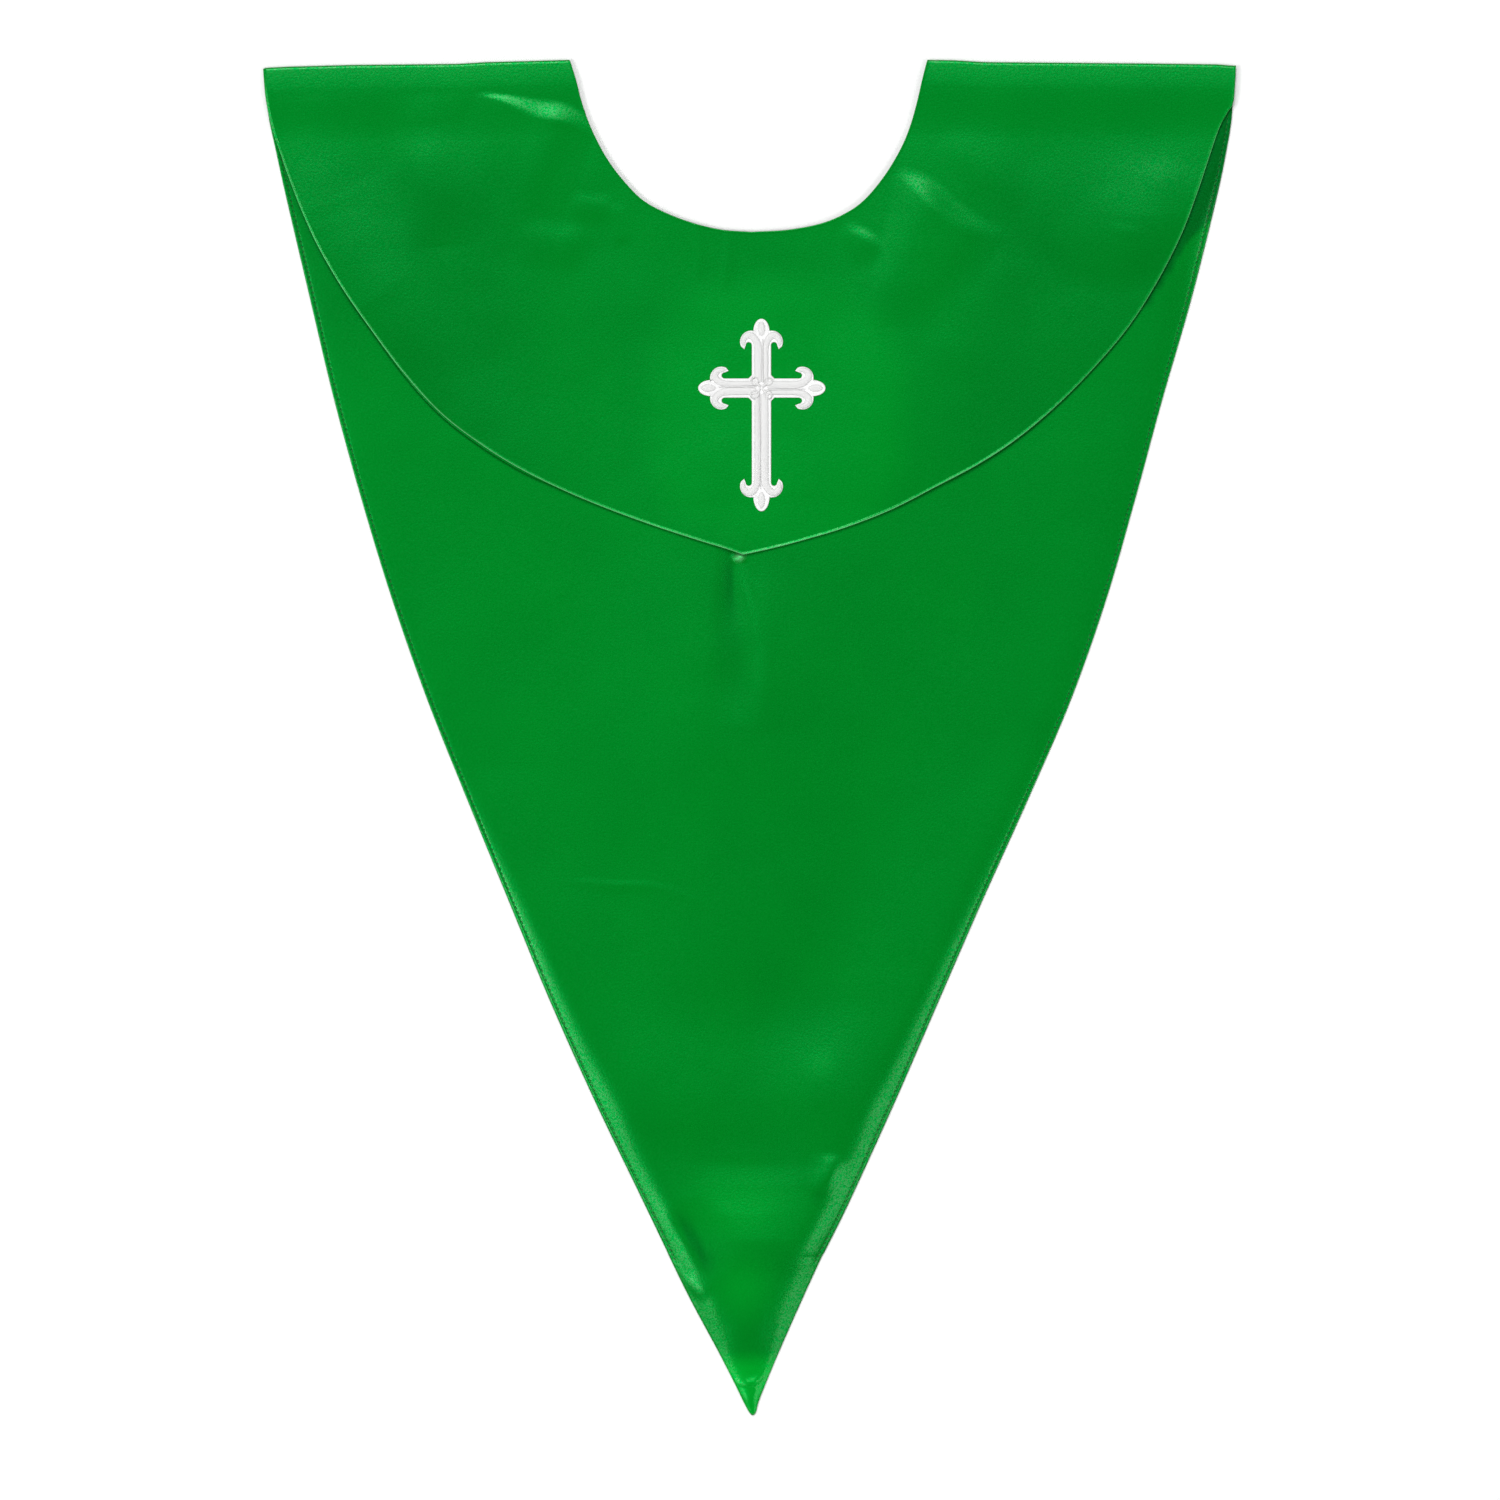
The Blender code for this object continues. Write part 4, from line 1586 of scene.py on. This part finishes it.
    def shoulder_lines(self, side: Side) -> list[tuple[Array, Array, Callable]]:
        """Sections over one shoulder: both ends and the height along each section."""
        neck, hem = self.neck[side], self.hem[side]
        neck_fold, hem_fold = neck[0, 0], hem[0, 0]
        neck_under = side.value * self.panel.neck_levels[0].x - neck_fold
        hem_under = self.panel.edge(side)[0, 0] - hem_fold
        lines = []
        for share in np.linspace(1.0, 0.0, self.flap_steps, endpoint=False):
            under = share + (1.0 - share) * self.roll_radius / self.seam_back
            ends = (neck_fold + neck_under * under, hem_fold + hem_under * under)

            def flap(x: Array, share: float = share) -> tuple[Array, float]:
                """Place of the turned-under flap."""
                turn = self.fold_y(x) - self.roll_radius
                return share * self.seam_y(x) + (1.0 - share) * turn, ABOVE_TABLE

            lines.append((*ends, flap))
        for back, height in self.roll_profile():
            if height < self.roll_radius:
                share = back / self.seam_back
                ends = (neck_fold + neck_under * share, hem_fold + hem_under * share)
            else:
                ends = (x_at(neck, neck[0, 1] - back), x_at(hem, hem[0, 1] - back))

            def roll(x: Array, back: float = back, height: float = height) -> tuple[Array, float]:
                """Place on the roll."""
                return self.fold_y(x) - back, max(height, ABOVE_TABLE)

            lines.append((*ends, roll))
        return lines

    def face_grid(self, side: Side) -> tuple[Array, Array]:
        """The face of one half, and where its sections meet the hem.

        Args:
            side: the half that is built.

        Returns:
            Points in rows from the shoulder seam to the middle and columns from neckline to
            hem, edges included, and the distance of each column from the neckline.
        """
        rows, spans = [], []
        for neck_x, hem_x, place in self.shoulder_lines(side):
            length = abs(hem_x - neck_x)
            inside = self._all_columns(length)
            x = neck_x + (hem_x - neck_x) * inside / length
            y, height = place(x)
            rows.append(np.stack([x, y, np.full_like(x, height)], -1))
            spans.append(inside)
        fractions = np.linspace(0.0, 1.0, self.ring_steps + 1)[1:]
        neck_ends = points_along(self._below_crest(self.neck[side]), fractions)
        hem_ends = points_along(self._below_crest(self.hem[side]), fractions)
        for inner, outer in zip(neck_ends, hem_ends):
            length = math.dist(inner, outer)
            inside = self._all_columns(length)
            xy = inner + (outer - inner) * (inside / length)[:, None]
            rows.append(np.column_stack([xy, np.zeros(len(xy))]))
            spans.append(inside)
        face = np.stack(rows)
        inside = np.stack(spans)
        ring = face[len(face) - self.ring_steps :]
        ring[..., 2] = self.height(ring[..., 0], ring[..., 1])
        return face, inside

    def _all_columns(self, length: float) -> Array:
        """The face's columns with both edges."""
        return np.concatenate([[0.0], self.columns(length)[0], [length]])

    def _below_crest(self, path: Array) -> Array:
        """The part of an outline below the shoulder's crest."""
        start_y = path[0, 1] - self.crest_back
        start = (float(x_at(path, start_y)), start_y)
        return np.vstack([start, path[path[:, 1] < start_y]])

    def bead_shape(self, from_edge: Any) -> Any:
        """The seam's bead as a share of its height, at a distance from the edge."""
        return bell(np.maximum(from_edge - self.bead_in, 0.0) / self.bead_width)

    def rim(self, edge: Array, outward: Array, normal: Array, lip: Array) -> Array:
        """The turned edge: the face's bead, the seam's groove and the lining's bead.

        Args:
            edge: the face's points on the outline.
            outward: unit directions out of the cloth, one for each point.
            normal: unit normals of the face there.
            lip: how far the lining shows beyond the face.

        Returns:
            Rows of points from the face to the underside.
        """
        rows = []
        for place in self.rim_profile:
            reach = (place.out + lip * place.lip_share)[:, None]
            rows.append(edge + outward * reach - normal * place.drop)
        return np.stack(rows, 1)

    def build(self, material: bpy.types.Material) -> bpy.types.Object:
        """Builds the yoke as a closed shell of face, turned edges and lining."""
        left, left_in = self.face_grid(Side.LEFT)
        right, right_in = self.face_grid(Side.RIGHT)
        face = np.concatenate([left, right[-2::-1]])
        inside = np.concatenate([left_in, right_in[-2::-1]])
        normal = surface_normals(face)
        hem = face[:, -1]
        beads = listed(self.beads, hem[:, 0])
        rise = (beads * self.bead_shape(self.rim_bead))[:, None]
        lip = np.interp(hem[:, 0], self.lip_places, self.lips)
        lip = np.where(hem[:, 1] < self.lips_below, lip, 0.0)
        hem_out = self._outward(hem, face[:, -2])
        hem_rim = self.rim(hem + normal[:, -2] * rise, hem_out, normal[:, -2], lip)
        neck_out = self._outward(face[:, 0], face[:, 1])
        neck_rim = self.rim(face[:, 0], neck_out, normal[:, 1], np.zeros(len(face)))
        body_normal = normal[:, 1:-1]
        body = face[:, 1:-1] + body_normal * self._bead(inside, beads)[..., None]
        under = self._lining(body - body_normal * self.cloth, inside)
        loop = np.concatenate([body, hem_rim, under, neck_rim[:, ::-1]], axis=1)
        loop[..., 2] = np.maximum(loop[..., 2], ABOVE_TABLE)
        taut = self._taut(inside, hem, loop.shape[1])
        maker = MeshMaker("short_yoke_cloth")
        numbers = maker.add_points(loop, tone=self._tone(loop), taut=taut)
        maker.add_grid(numbers, flip=True, wrap=True)
        maker.add_face(numbers[0], flip=True)
        maker.add_face(numbers[-1], flip=False)
        return maker.make(material)

    @staticmethod
    def _outward(edge: Array, next_in: Array) -> Array:
        """Unit directions out of the cloth at the points of an edge."""
        out = edge - next_in
        return out / np.linalg.norm(out, axis=1, keepdims=True)

    @staticmethod
    def _from_edges(inside: Array) -> tuple[Array, Array]:
        """Distances of the inner columns from the nearer edge, and where that is the hem."""
        between, length = inside[:, 1:-1], inside[:, -1:]
        return np.minimum(between, length - between), between > length / 2

    def _bead(self, inside: Array, beads: Array) -> Array:
        """How far the seams' beads raise the face beside the hem and the neckline."""
        from_edge, by_hem = self._from_edges(inside)
        return np.where(by_hem, beads[:, None], self.neck_bead) * self.bead_shape(from_edge)

    def _lining(self, deep: Array, inside: Array) -> Array:
        """The lining's points, in fewer columns than the face's.

        Args:
            deep: a point of the lining under each inner point of the face.
            inside: the distances of the face's columns from the neckline.

        Returns:
            The lining's points, in columns from the hem to the neckline.
        """
        sections = []
        for row, row_in in zip(deep, inside):
            at = self.columns(row_in[-1])[1]
            section = [np.interp(at, row_in[1:-1], row[:, axis]) for axis in range(3)]
            sections.append(np.column_stack(section))
        return np.stack(sections)

    def _tone(self, loop: Array) -> Array:
        """Share by which the satin is lighter over the backing, and painted darker at the sides as
        shade.
        """
        across = np.abs(loop[..., 0] - self.backing.x) / self.backing_half.x
        up = np.abs(loop[..., 1] - self.backing.y) / self.backing_half.y
        power = self.backing_power
        from_middle = (across**power + up**power) ** (1.0 / power)
        backed = 1.0 - ease((from_middle - 1.0) / self.backing_edge + 0.5)
        sides = self.side_across.at(np.abs(loop[..., 0])) * self.side_up.at(loop[..., 1])
        return self.backing_tone * backed - self.side_painted_shade * sides

    def _taut(self, inside: Array, hem: Array, columns: int) -> Array:
        """A painted highlight along the hem's seam: pale satin colour where the seam catches the
        light.

        Args:
            inside: the distances of the face's columns from the neckline.
            hem: the face's points on the hem.
            columns: how many columns the whole loop has.

        Returns:
            The painted highlight, from 0 to 1, of each point of the loop.
        """
        below = np.where(hem[:, 0] < 0.0, *self.taut_below)
        across = self.taut_across.at(np.abs(hem[:, 0] - self.taut_middle))
        seen = ease((below - hem[:, 1]) / self.taut_fade)
        seen = seen * (self.taut_least + (1.0 - self.taut_least) * across)
        from_edge, by_hem = self._from_edges(inside)
        rim = from_edge.shape[1]
        taut = np.zeros((len(inside), columns))
        taut[:, :rim] = bell(from_edge / self.taut_width) * by_hem
        taut[:, rim] = 1.0
        taut *= seen[:, None]
        taut[:, rim - 1] = np.maximum(taut[:, rim - 1], self.taut_edge * seen)
        return taut


@dataclass
class Topstitch:
    """The row of short stitches inside the long panel's edges.

    Each stitch is a thinly bowed thread: rise is how far its middle stands over its ends, and
    sunk is how deep the ends lie in the cloth. rings and sides are its points, along and round.
    """

    length: float = 2.7
    width: float = 0.42
    end_share: float = 0.35
    rise: float = 0.30
    sunk: float = 0.28
    bow_power: float = 0.6
    sides: int = 6
    rings: int = 5

    def build(self, panel: LongPanel, material: bpy.types.Material) -> bpy.types.Object:
        """Sews both edges.

        Args:
            panel: the panel that is sewn.
            material: the thread.

        Returns:
            All the stitches as one object.
        """
        maker = MeshMaker("panel_topstitch")
        for side in Side:
            self._sew(maker, panel, side)
        return maker.make(material)

    def _sew(self, maker: MeshMaker, panel: LongPanel, side: Side) -> None:
        """Sews one edge."""
        edge = panel.edge(side)
        reached = path_lengths(edge)
        start = np.interp(-panel.stitch_high, -edge[:, 1], reached)
        stop = np.interp(-panel.stitch_low, -edge[:, 1], reached)
        first = math.ceil(start / STITCH_PITCH)
        last = math.floor(stop / STITCH_PITCH)
        t = np.linspace(-0.5, 0.5, self.rings)
        bow = np.cos(t * math.pi) ** self.bow_power
        radius = self.width / 2 * (self.end_share + (1.0 - self.end_share) * bow)
        angle = np.linspace(0.0, 2 * math.pi, self.sides, endpoint=False)
        wide = np.cos(angle) * radius[:, None]
        high = np.sin(angle) * radius[:, None]
        flip = side is Side.LEFT
        for middle in np.arange(first, last) * STITCH_PITCH:
            along = middle + t * self.length
            x = np.interp(along, reached, edge[:, 0])
            y = np.interp(along, reached, edge[:, 1])
            run = np.array([x[-1] - x[0], y[-1] - y[0]])
            run /= np.linalg.norm(run)
            inward = np.array([-run[1], run[0]]) * -side.value
            x = x + inward[0] * STITCH_INSET
            y = y + inward[1] * STITCH_INSET
            z = panel.top + panel.relief(x, y) + self.rise * bow - self.sunk
            ring_x = x[:, None] + inward[0] * wide
            ring_y = y[:, None] + inward[1] * wide
            ring = np.stack([ring_x, ring_y, z[:, None] + high], -1)
            numbers = maker.add_points(ring)
            maker.add_grid(numbers, flip, wrap=True)
            maker.add_face(numbers[0], flip)
            maker.add_face(numbers[-1], not flip)


class Arm(NamedTuple):
    """An arm of the cross: the way it points, its length and how much longer its bud is."""

    turn: float
    length: float
    bud_extra: float


class CordKnot(NamedTuple):
    """A knot of an embroidered cord: place across and out, and the cord's width."""

    across: float
    out: float
    width: float


def cord_knots(
    across: Sequence[float], out: Sequence[float], width: Sequence[float]
) -> tuple[CordKnot, ...]:
    """A cord's knots from its places across, its places out and its widths."""
    return tuple(map(CordKnot, across, out, width))


@dataclass
class CrossApplique:
    """The raised white cross: a satin-stitched rim, padded cords, buds and corner curls.

    surface gives the height of the cloth that it is sewn on. thread is the width of one
    thread, whose ridge is thread_rise high, and rim_profile is the rim's section: shares of
    its width inward, and heights.
    """

    surface: Callable[[Array, Array], Array]
    centre: Place = Place(7.75, 227.0)
    arms: tuple[Arm, ...] = (
        Arm(0.0, 45.1, 0.0),
        Arm(-90.0, 41.6, 0.0),
        Arm(-180.0, 80.1, 1.3),
        Arm(-270.0, 41.1, 0.0),
    )

    # Outline of an arm: its sides, the notch, the leaf and the bud
    arm_half: float = 6.25
    corner_flare: float = 2.2
    notch_radius: float = 1.95
    notch_back: float = 17.2
    leaf_tip: Place = Place(11.2, 19.8)
    leaf_centre: Place = Place(6.65, 15.0)
    leaf_radius: float = 7.3
    leaf_arc: tuple[float, float] = (-25.0, 103.0)
    bud_half: float = 5.3
    bud_length: float = 8.5
    bud_start: float = 4.0

    # Threads and the rim
    thread: float = 0.7
    thread_samples: int = 4
    thread_rise: float = 0.045
    merge: float = 0.004
    rim_width: float = 1.55
    rim_profile: tuple[tuple[float, float], ...] = (
        (0.0, 0.05),
        (0.0, 0.45),
        (0.07, 0.68),
        (0.25, 0.86),
        (0.5, 0.93),
        (0.78, 0.88),
        (1.0, 0.70),
    )

    # Cords over the plate inside the rim
    plate: float = 0.66
    cord_sunk: float = 0.12
    cord_rise: float = 1.15
    cord_full_width: float = 3.2
    cord_end: float = 0.8
    cord_slant: float = 0.9
    cord_round: float = 0.8
    cord_points: int = 10
    leaf_across: tuple[float, ...] = (5.0, 7.2, 9.6, 11.3, 11.8, 11.4)
    leaf_back: tuple[float, ...] = (12.5, 10.9, 11.2, 13.2, 15.8, 18.6)
    leaf_width: tuple[float, ...] = (4.6, 4.6, 4.3, 3.7, 2.8, 1.0)
    ring_centre: Place = Place(4.5, 4.3)
    ring_half: Place = Place(2.6, 2.3)

    def arm_side(self, arm: Arm) -> list[tuple[float, float]]:
        """One side of an arm, across and out, from the inner corner to the bud's tip."""
        leaf_end = arm.length - arm.bud_extra
        side = [(self.arm_half, self.arm_half + self.corner_flare)]
        notch = (self.arm_half + self.notch_radius, leaf_end - self.notch_back)
        side += self._arc(notch, self.notch_radius, self.notch_radius, 180.0, 0.0, 12)
        side.append((self.leaf_tip.x, leaf_end - self.leaf_tip.y))
        leaf = (self.leaf_centre.x, leaf_end - self.leaf_centre.y)
        side += self._arc(leaf, self.leaf_radius, self.leaf_radius, *self.leaf_arc, 20)
        bud = (0.0, leaf_end - self.bud_length)
        high = self.bud_length + arm.bud_extra
        side += self._arc(bud, self.bud_half, high, self.bud_start, 90.0, 14)
        return side

    @staticmethod
    def _arc(
        centre: tuple[float, float], wide: float, high: float, start: float, stop: float, steps: int
    ) -> list[tuple[float, float]]:
        """Points along part of an ellipse."""
        angles = np.radians(np.linspace(start, stop, steps + 1))
        return [(centre[0] + wide * math.cos(a), centre[1] + high * math.sin(a)) for a in angles]

    def turned(self, points: Array, turn: float) -> Array:
        """Points of an arm, across and out, turned into place on the stole."""
        angle = math.radians(turn)
        across, out = points[..., 0], points[..., 1]
        x = self.centre.x + across * math.cos(angle) - out * math.sin(angle)
        y = self.centre.y + across * math.sin(angle) + out * math.cos(angle)
        return np.stack([x, y], -1)

    def outline(self) -> Array:
        """The outline, resampled evenly with four samples for each thread."""
        points = []
        for arm in self.arms:
            side = self.arm_side(arm)
            around = [(-across, out) for across, out in side] + side[-2::-1]
            points.append(self.turned(np.array(around), arm.turn))
        loop = np.vstack(points)
        loop = np.vstack([loop, loop[:1]])
        total = path_lengths(loop)[-1]
        threads = int(total / self.thread)
        count = threads * self.thread_samples
        return points_along(loop, np.arange(count) / count)

    def rim_reach(self, loop: Array, inward: Array) -> Array:
        """How far the rim reaches in from the outline without crossing the other side.

        It steps inward from every point. Where a step comes nearly as close to another part of
        the outline as to its own, the rim is kept to a share of that step.

        Args:
            loop: the outline's points.
            inward: unit directions into the cross, one for each point.

        Returns:
            The reach at each point.
        """
        nearly, kept, smoothing, batch = 0.9, 0.62, 9, 200
        first_step, last_share, steps = 0.3, 1.5, 14
        reach = np.full(len(loop), self.rim_width)
        coarse = loop[:: self.thread_samples]
        for step in np.linspace(first_step, self.rim_width * last_share, steps):
            at = loop + inward * step
            nearest = np.full(len(loop), np.inf)
            for start in range(0, len(coarse), batch):
                part = coarse[start : start + batch]
                apart = np.hypot(*(at[:, None] - part[None]).transpose(2, 0, 1))
                nearest = np.minimum(nearest, apart.min(1))
            crossed = nearest < step * nearly
            reach = np.where(crossed, np.minimum(reach, step * kept), reach)
        half = smoothing // 2
        padded = np.concatenate([reach[-half:], reach, reach[:half]])
        return np.minimum(reach, np.convolve(padded, np.ones(smoothing) / smoothing, "valid"))

    def build_rim(self, material: bpy.types.Material) -> bpy.types.Object:
        """The base of the cross with its satin-stitched border."""
        loop = self.outline()
        run = np.roll(loop, -1, 0) - np.roll(loop, 1, 0)
        run /= np.linalg.norm(run, axis=1, keepdims=True)
        area = np.sum(loop[:, 0] * np.roll(loop[:, 1], -1) - np.roll(loop[:, 0], -1) * loop[:, 1])
        inward = np.column_stack([-run[:, 1], run[:, 0]]) * math.copysign(1.0, area)
        reach = self.rim_reach(loop, inward)
        phase = np.arange(len(loop)) / self.thread_samples * 2 * math.pi
        rows = []
        slant, ridge_start = 1.2, 0.25
        for share, height in self.rim_profile:
            fading = math.sin(math.pi * min(share + ridge_start, 1.0))
            ridge = self.thread_rise * np.cos(phase + share * slant) * fading
            at = loop + inward * (reach * share)[:, None]
            z = self.surface(at[:, 0], at[:, 1]) + height + ridge
            rows.append(np.column_stack([at, z]))
        maker = MeshMaker("cross_rim")
        numbers = maker.add_points(np.stack(rows))
        turn = area > 0
        maker.add_grid(numbers, flip=not turn, wrap=True)
        maker.add_face(numbers[-1][:: self.thread_samples], flip=not turn)
        maker.add_face(numbers[0][:: self.thread_samples], flip=turn)
        return maker.make(material, self.merge)

    def cord(
        self, maker: MeshMaker, knots: Sequence[CordKnot], turn: float, mirror: float, rise: float
    ) -> None:
        """Adds one padded cord with its threads laid across it.

        Args:
            maker: the mesh that it is added to.
            knots: its line and widths, across and out from the middle of the cross.
            turn: the way its arm points.
            mirror: 1, or -1 for the other half of the arm.
            rise: its height over the plate at full width.
        """
        path = smooth_path(knots, 16)
        path[:, 0] *= mirror
        reached = path_lengths(path)
        count = max(6, int(reached[-1] / self.thread * self.thread_samples))
        wanted = np.linspace(0.0, reached[-1], count + 1)
        rows = np.column_stack([np.interp(wanted, reached, path[:, i]) for i in range(3)])
        line = self.turned(rows[:, :2], turn)
        run = np.gradient(line, axis=0)
        run /= np.linalg.norm(run, axis=1, keepdims=True)
        across = np.column_stack([-run[:, 1], run[:, 0]])
        from_end = np.minimum(wanted, reached[-1] - wanted)
        ends = np.sqrt(np.clip(from_end / self.cord_end, 0.0, 1.0))
        half = rows[:, 2] / 2 * ends
        angle = np.linspace(0.0, math.pi, self.cord_points)
        phase = np.arange(count + 1) / self.thread_samples * 2 * math.pi
        slant = self.cord_slant * np.cos(angle)[None, :]
        ridge = self.thread_rise * np.cos(phase[:, None] + slant)
        high = rise * np.minimum(1.0, rows[:, 2] / self.cord_full_width) * ends
        xy = line[:, None] + across[:, None] * (np.cos(angle)[None, :] * half[:, None])[..., None]
        dome = np.sin(angle)[None, :] ** self.cord_round * (high[:, None] + ridge)
        z = self.surface(xy[..., 0], xy[..., 1]) + self.plate - self.cord_sunk + dome
        numbers = maker.add_points(np.concatenate([xy, z[..., None]], -1))
        maker.add_grid(numbers, flip=False, wrap=True)
        maker.add_face(numbers[0], flip=False)
        maker.add_face(numbers[-1], flip=True)

    def build_cords(self, material: bpy.types.Material) -> bpy.types.Object:
        """The cords of the arms, the buds, and the curls and ridges where the arms cross."""
        maker = MeshMaker("cross_cords")
        for arm in self.arms:
            for knots, mirror, rise_share in self.arm_cords(arm):
                self.cord(maker, knots, arm.turn, mirror, self.cord_rise * rise_share)
        return maker.make(material, self.merge)

    def arm_cords(self, arm: Arm) -> list[tuple[tuple[CordKnot, ...], float, float]]:
        """The cords of one arm.

        Args:
            arm: the arm that they lie on.

        Returns:
            For each cord its knots, 1 or -1 for its half of the arm, and its height as a
            share of cord_rise.
        """
        end = arm.length - arm.bud_extra
        stem = (3.4, end * 0.4, end - 21.0, end - 15.8)
        wide = cord_knots((2.1, 2.1, 2.1, 2.9), stem, (4.8, 5.2, 5.2, 5.0))
        narrow = cord_knots((2.9, 2.9, 2.9, 3.4), stem, (3.0, 3.4, 3.4, 4.2))
        leaf_out = [end - back for back in self.leaf_back]
        leaf = cord_knots(self.leaf_across, leaf_out, self.leaf_width)
        line_out = (3.0, end * 0.4, end - 20.0, end - 13.0)
        line = cord_knots((0.95, 0.95, 0.95, 0.6), line_out, (0.7, 1.0, 1.0, 0.6))
        tip = end + arm.bud_extra
        bud_out = (end - 11.6, end - 9.6, end - 6.9, (end + tip) / 2 - 4.2, tip - 2.2, tip - 1.4)
        bud = cord_knots((0.0,) * 6, bud_out, (1.0, 3.4, 5.0, 4.2, 2.0, 0.7))
        centre, half = self.ring_centre, self.ring_half
        turns = [math.radians(degrees) for degrees in range(-130, 231, 24)]
        ring_across = [centre.x + half.x * math.cos(turn) for turn in turns]
        ring_out = [centre.y + half.y * math.sin(turn) for turn in turns]
        ring = cord_knots(ring_across, ring_out, (1.0,) * len(turns))
        ray = cord_knots((0.3, 2.4, 4.8), (0.3, 2.2, 4.7), (1.2, 1.9, 1.0))
        return [
            (wide + leaf, -1.0, 1.0),
            (narrow + leaf, 1.0, 1.0),
            (line, 1.0, 3.6),
            (bud, 1.0, 0.85),
            (ring, 1.0, 4.6),
            (ray, 1.0, 2.0),
        ]


class SoftBox(NamedTuple):
    """A soft light: its name, its place and size in metres and its power in watts."""

    name: str
    place: tuple[float, float, float]
    size: tuple[float, float]
    power: float


@dataclass
class Studio:
    """Paper floor, soft boxes on all sides and the camera straight above."""

    frame_width: float = 0.975
    camera_height: float = 8.0
    centre: tuple[float, float] = (0.0003, -0.0081)
    sensor: float = 36.0
    floor_half: float = 6.0
    floor_lines: int = 9
    floor_below: float = 0.05
    world_light: float = 0.02
    boxes: tuple[SoftBox, ...] = (
        SoftBox("panel_high", (-0.9, 6.6, 9.94), (5.6, 7.2), 640.0),
        SoftBox("core_high", (-0.88, 6.5, 9.77), (2.4, 2.4), 260.0),
        SoftBox("panel_left", (-8.0, -1.9, 8.7), (7.2, 6.0), 450.0),
        SoftBox("core_left", (-7.85, -1.86, 8.53), (2.4, 2.4), 210.0),
        SoftBox("panel_right", (8.1, -2.6, 8.4), (6.4, 6.0), 430.0),
        SoftBox("panel_low", (0.0, -9.2, 7.6), (6.0, 4.0), 200.0),
    )

    def build(self) -> None:
        """Makes the floor, the lights and the camera."""
        self._floor()
        self._world()
        for box in self.boxes:
            self._light(box)
        self._camera()

    def _floor(self) -> None:
        """A plain sheet of paper that runs out of sight."""
        half = self.floor_half / MM
        lines = np.linspace(-half, half, self.floor_lines)
        x, y = np.meshgrid(lines, lines)
        maker = MeshMaker("floor")
        numbers = maker.add_points(np.stack([x, y, np.full_like(x, -self.floor_below)], -1))
        maker.add_grid(numbers)
        maker.make(FloorFinish().make())

    def _world(self) -> None:
        """A faint even light from all round."""
        world = bpy.data.worlds.new("studio")
        world.use_nodes = True
        back = world.node_tree.nodes["Background"]
        back.inputs["Color"].default_value = (1.0, 1.0, 1.0, 1.0)
        back.inputs["Strength"].default_value = self.world_light
        bpy.context.scene.world = world

    def _light(self, box: SoftBox) -> None:
        """An area light that points at the middle of the stole."""
        light = bpy.data.lights.new(box.name, "AREA")
        light.shape = "RECTANGLE"
        light.size, light.size_y = box.size
        light.energy = box.power
        lamp = bpy.data.objects.new(box.name, light)
        lamp.location = box.place
        towards = lamp.location * -1.0
        lamp.rotation_euler = towards.to_track_quat("-Z", "Y").to_euler()
        lamp.visible_camera = False
        bpy.context.scene.collection.objects.link(lamp)

    def _camera(self) -> None:
        """The camera straight above, with the picture's top towards +Y."""
        lens = bpy.data.cameras.new("camera")
        lens.sensor_width = self.sensor
        lens.lens = self.sensor * self.camera_height / self.frame_width
        lens.dof.use_dof = False
        camera = bpy.data.objects.new("camera", lens)
        camera.location = (*self.centre, self.camera_height)
        bpy.context.scene.collection.objects.link(camera)
        bpy.context.scene.camera = camera


def main() -> None:
    """Builds the stole and its studio, piece by piece."""
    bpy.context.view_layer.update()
    bpy.context.scene.view_settings.view_transform = "Standard"
    Studio().build()
    panel = LongPanel()
    yoke = ShortYoke(panel=panel)
    stitched = SatinFinish("green_satin_stitched").make(stitched=True)
    plain = SatinFinish("green_satin").make(stitched=False)
    sewing = ThreadFinish("green_sewing_thread", (0.0002, 0.14, 0.009, 1.0)).make()

    long_cloth = panel.build(yoke.seam_y, stitched)
    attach(long_cloth, "root")
    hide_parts("long_panel")
    LOG.info("long panel: %d faces", len(long_cloth.data.polygons))

    stitches = Topstitch().build(panel, sewing)
    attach(stitches, "root")
    LOG.info("topstitch: %d faces", len(stitches.data.polygons))

    yoke_cloth = yoke.build(plain)
    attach(yoke_cloth, "root")
    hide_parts("short_yoke")
    LOG.info("short yoke: %d faces", len(yoke_cloth.data.polygons))

    cross = CrossApplique(surface=yoke.height)
    rim_thread = ThreadFinish("white_rim_thread", (0.86, 0.86, 0.86, 1.0), 0.5, 0.4)
    cord_thread = ThreadFinish("white_cord_thread", (0.74, 0.74, 0.735, 1.0), 0.45, 0.5)
    rim = cross.build_rim(rim_thread.make())
    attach(rim, "root")
    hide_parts("cross_applique")
    cords = cross.build_cords(cord_thread.make())
    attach(cords, "root")
    LOG.info("cross: %d and %d faces", len(rim.data.polygons), len(cords.data.polygons))


if __name__ == "__main__":
    logging.basicConfig(level=logging.INFO, format="%(message)s")
    main()
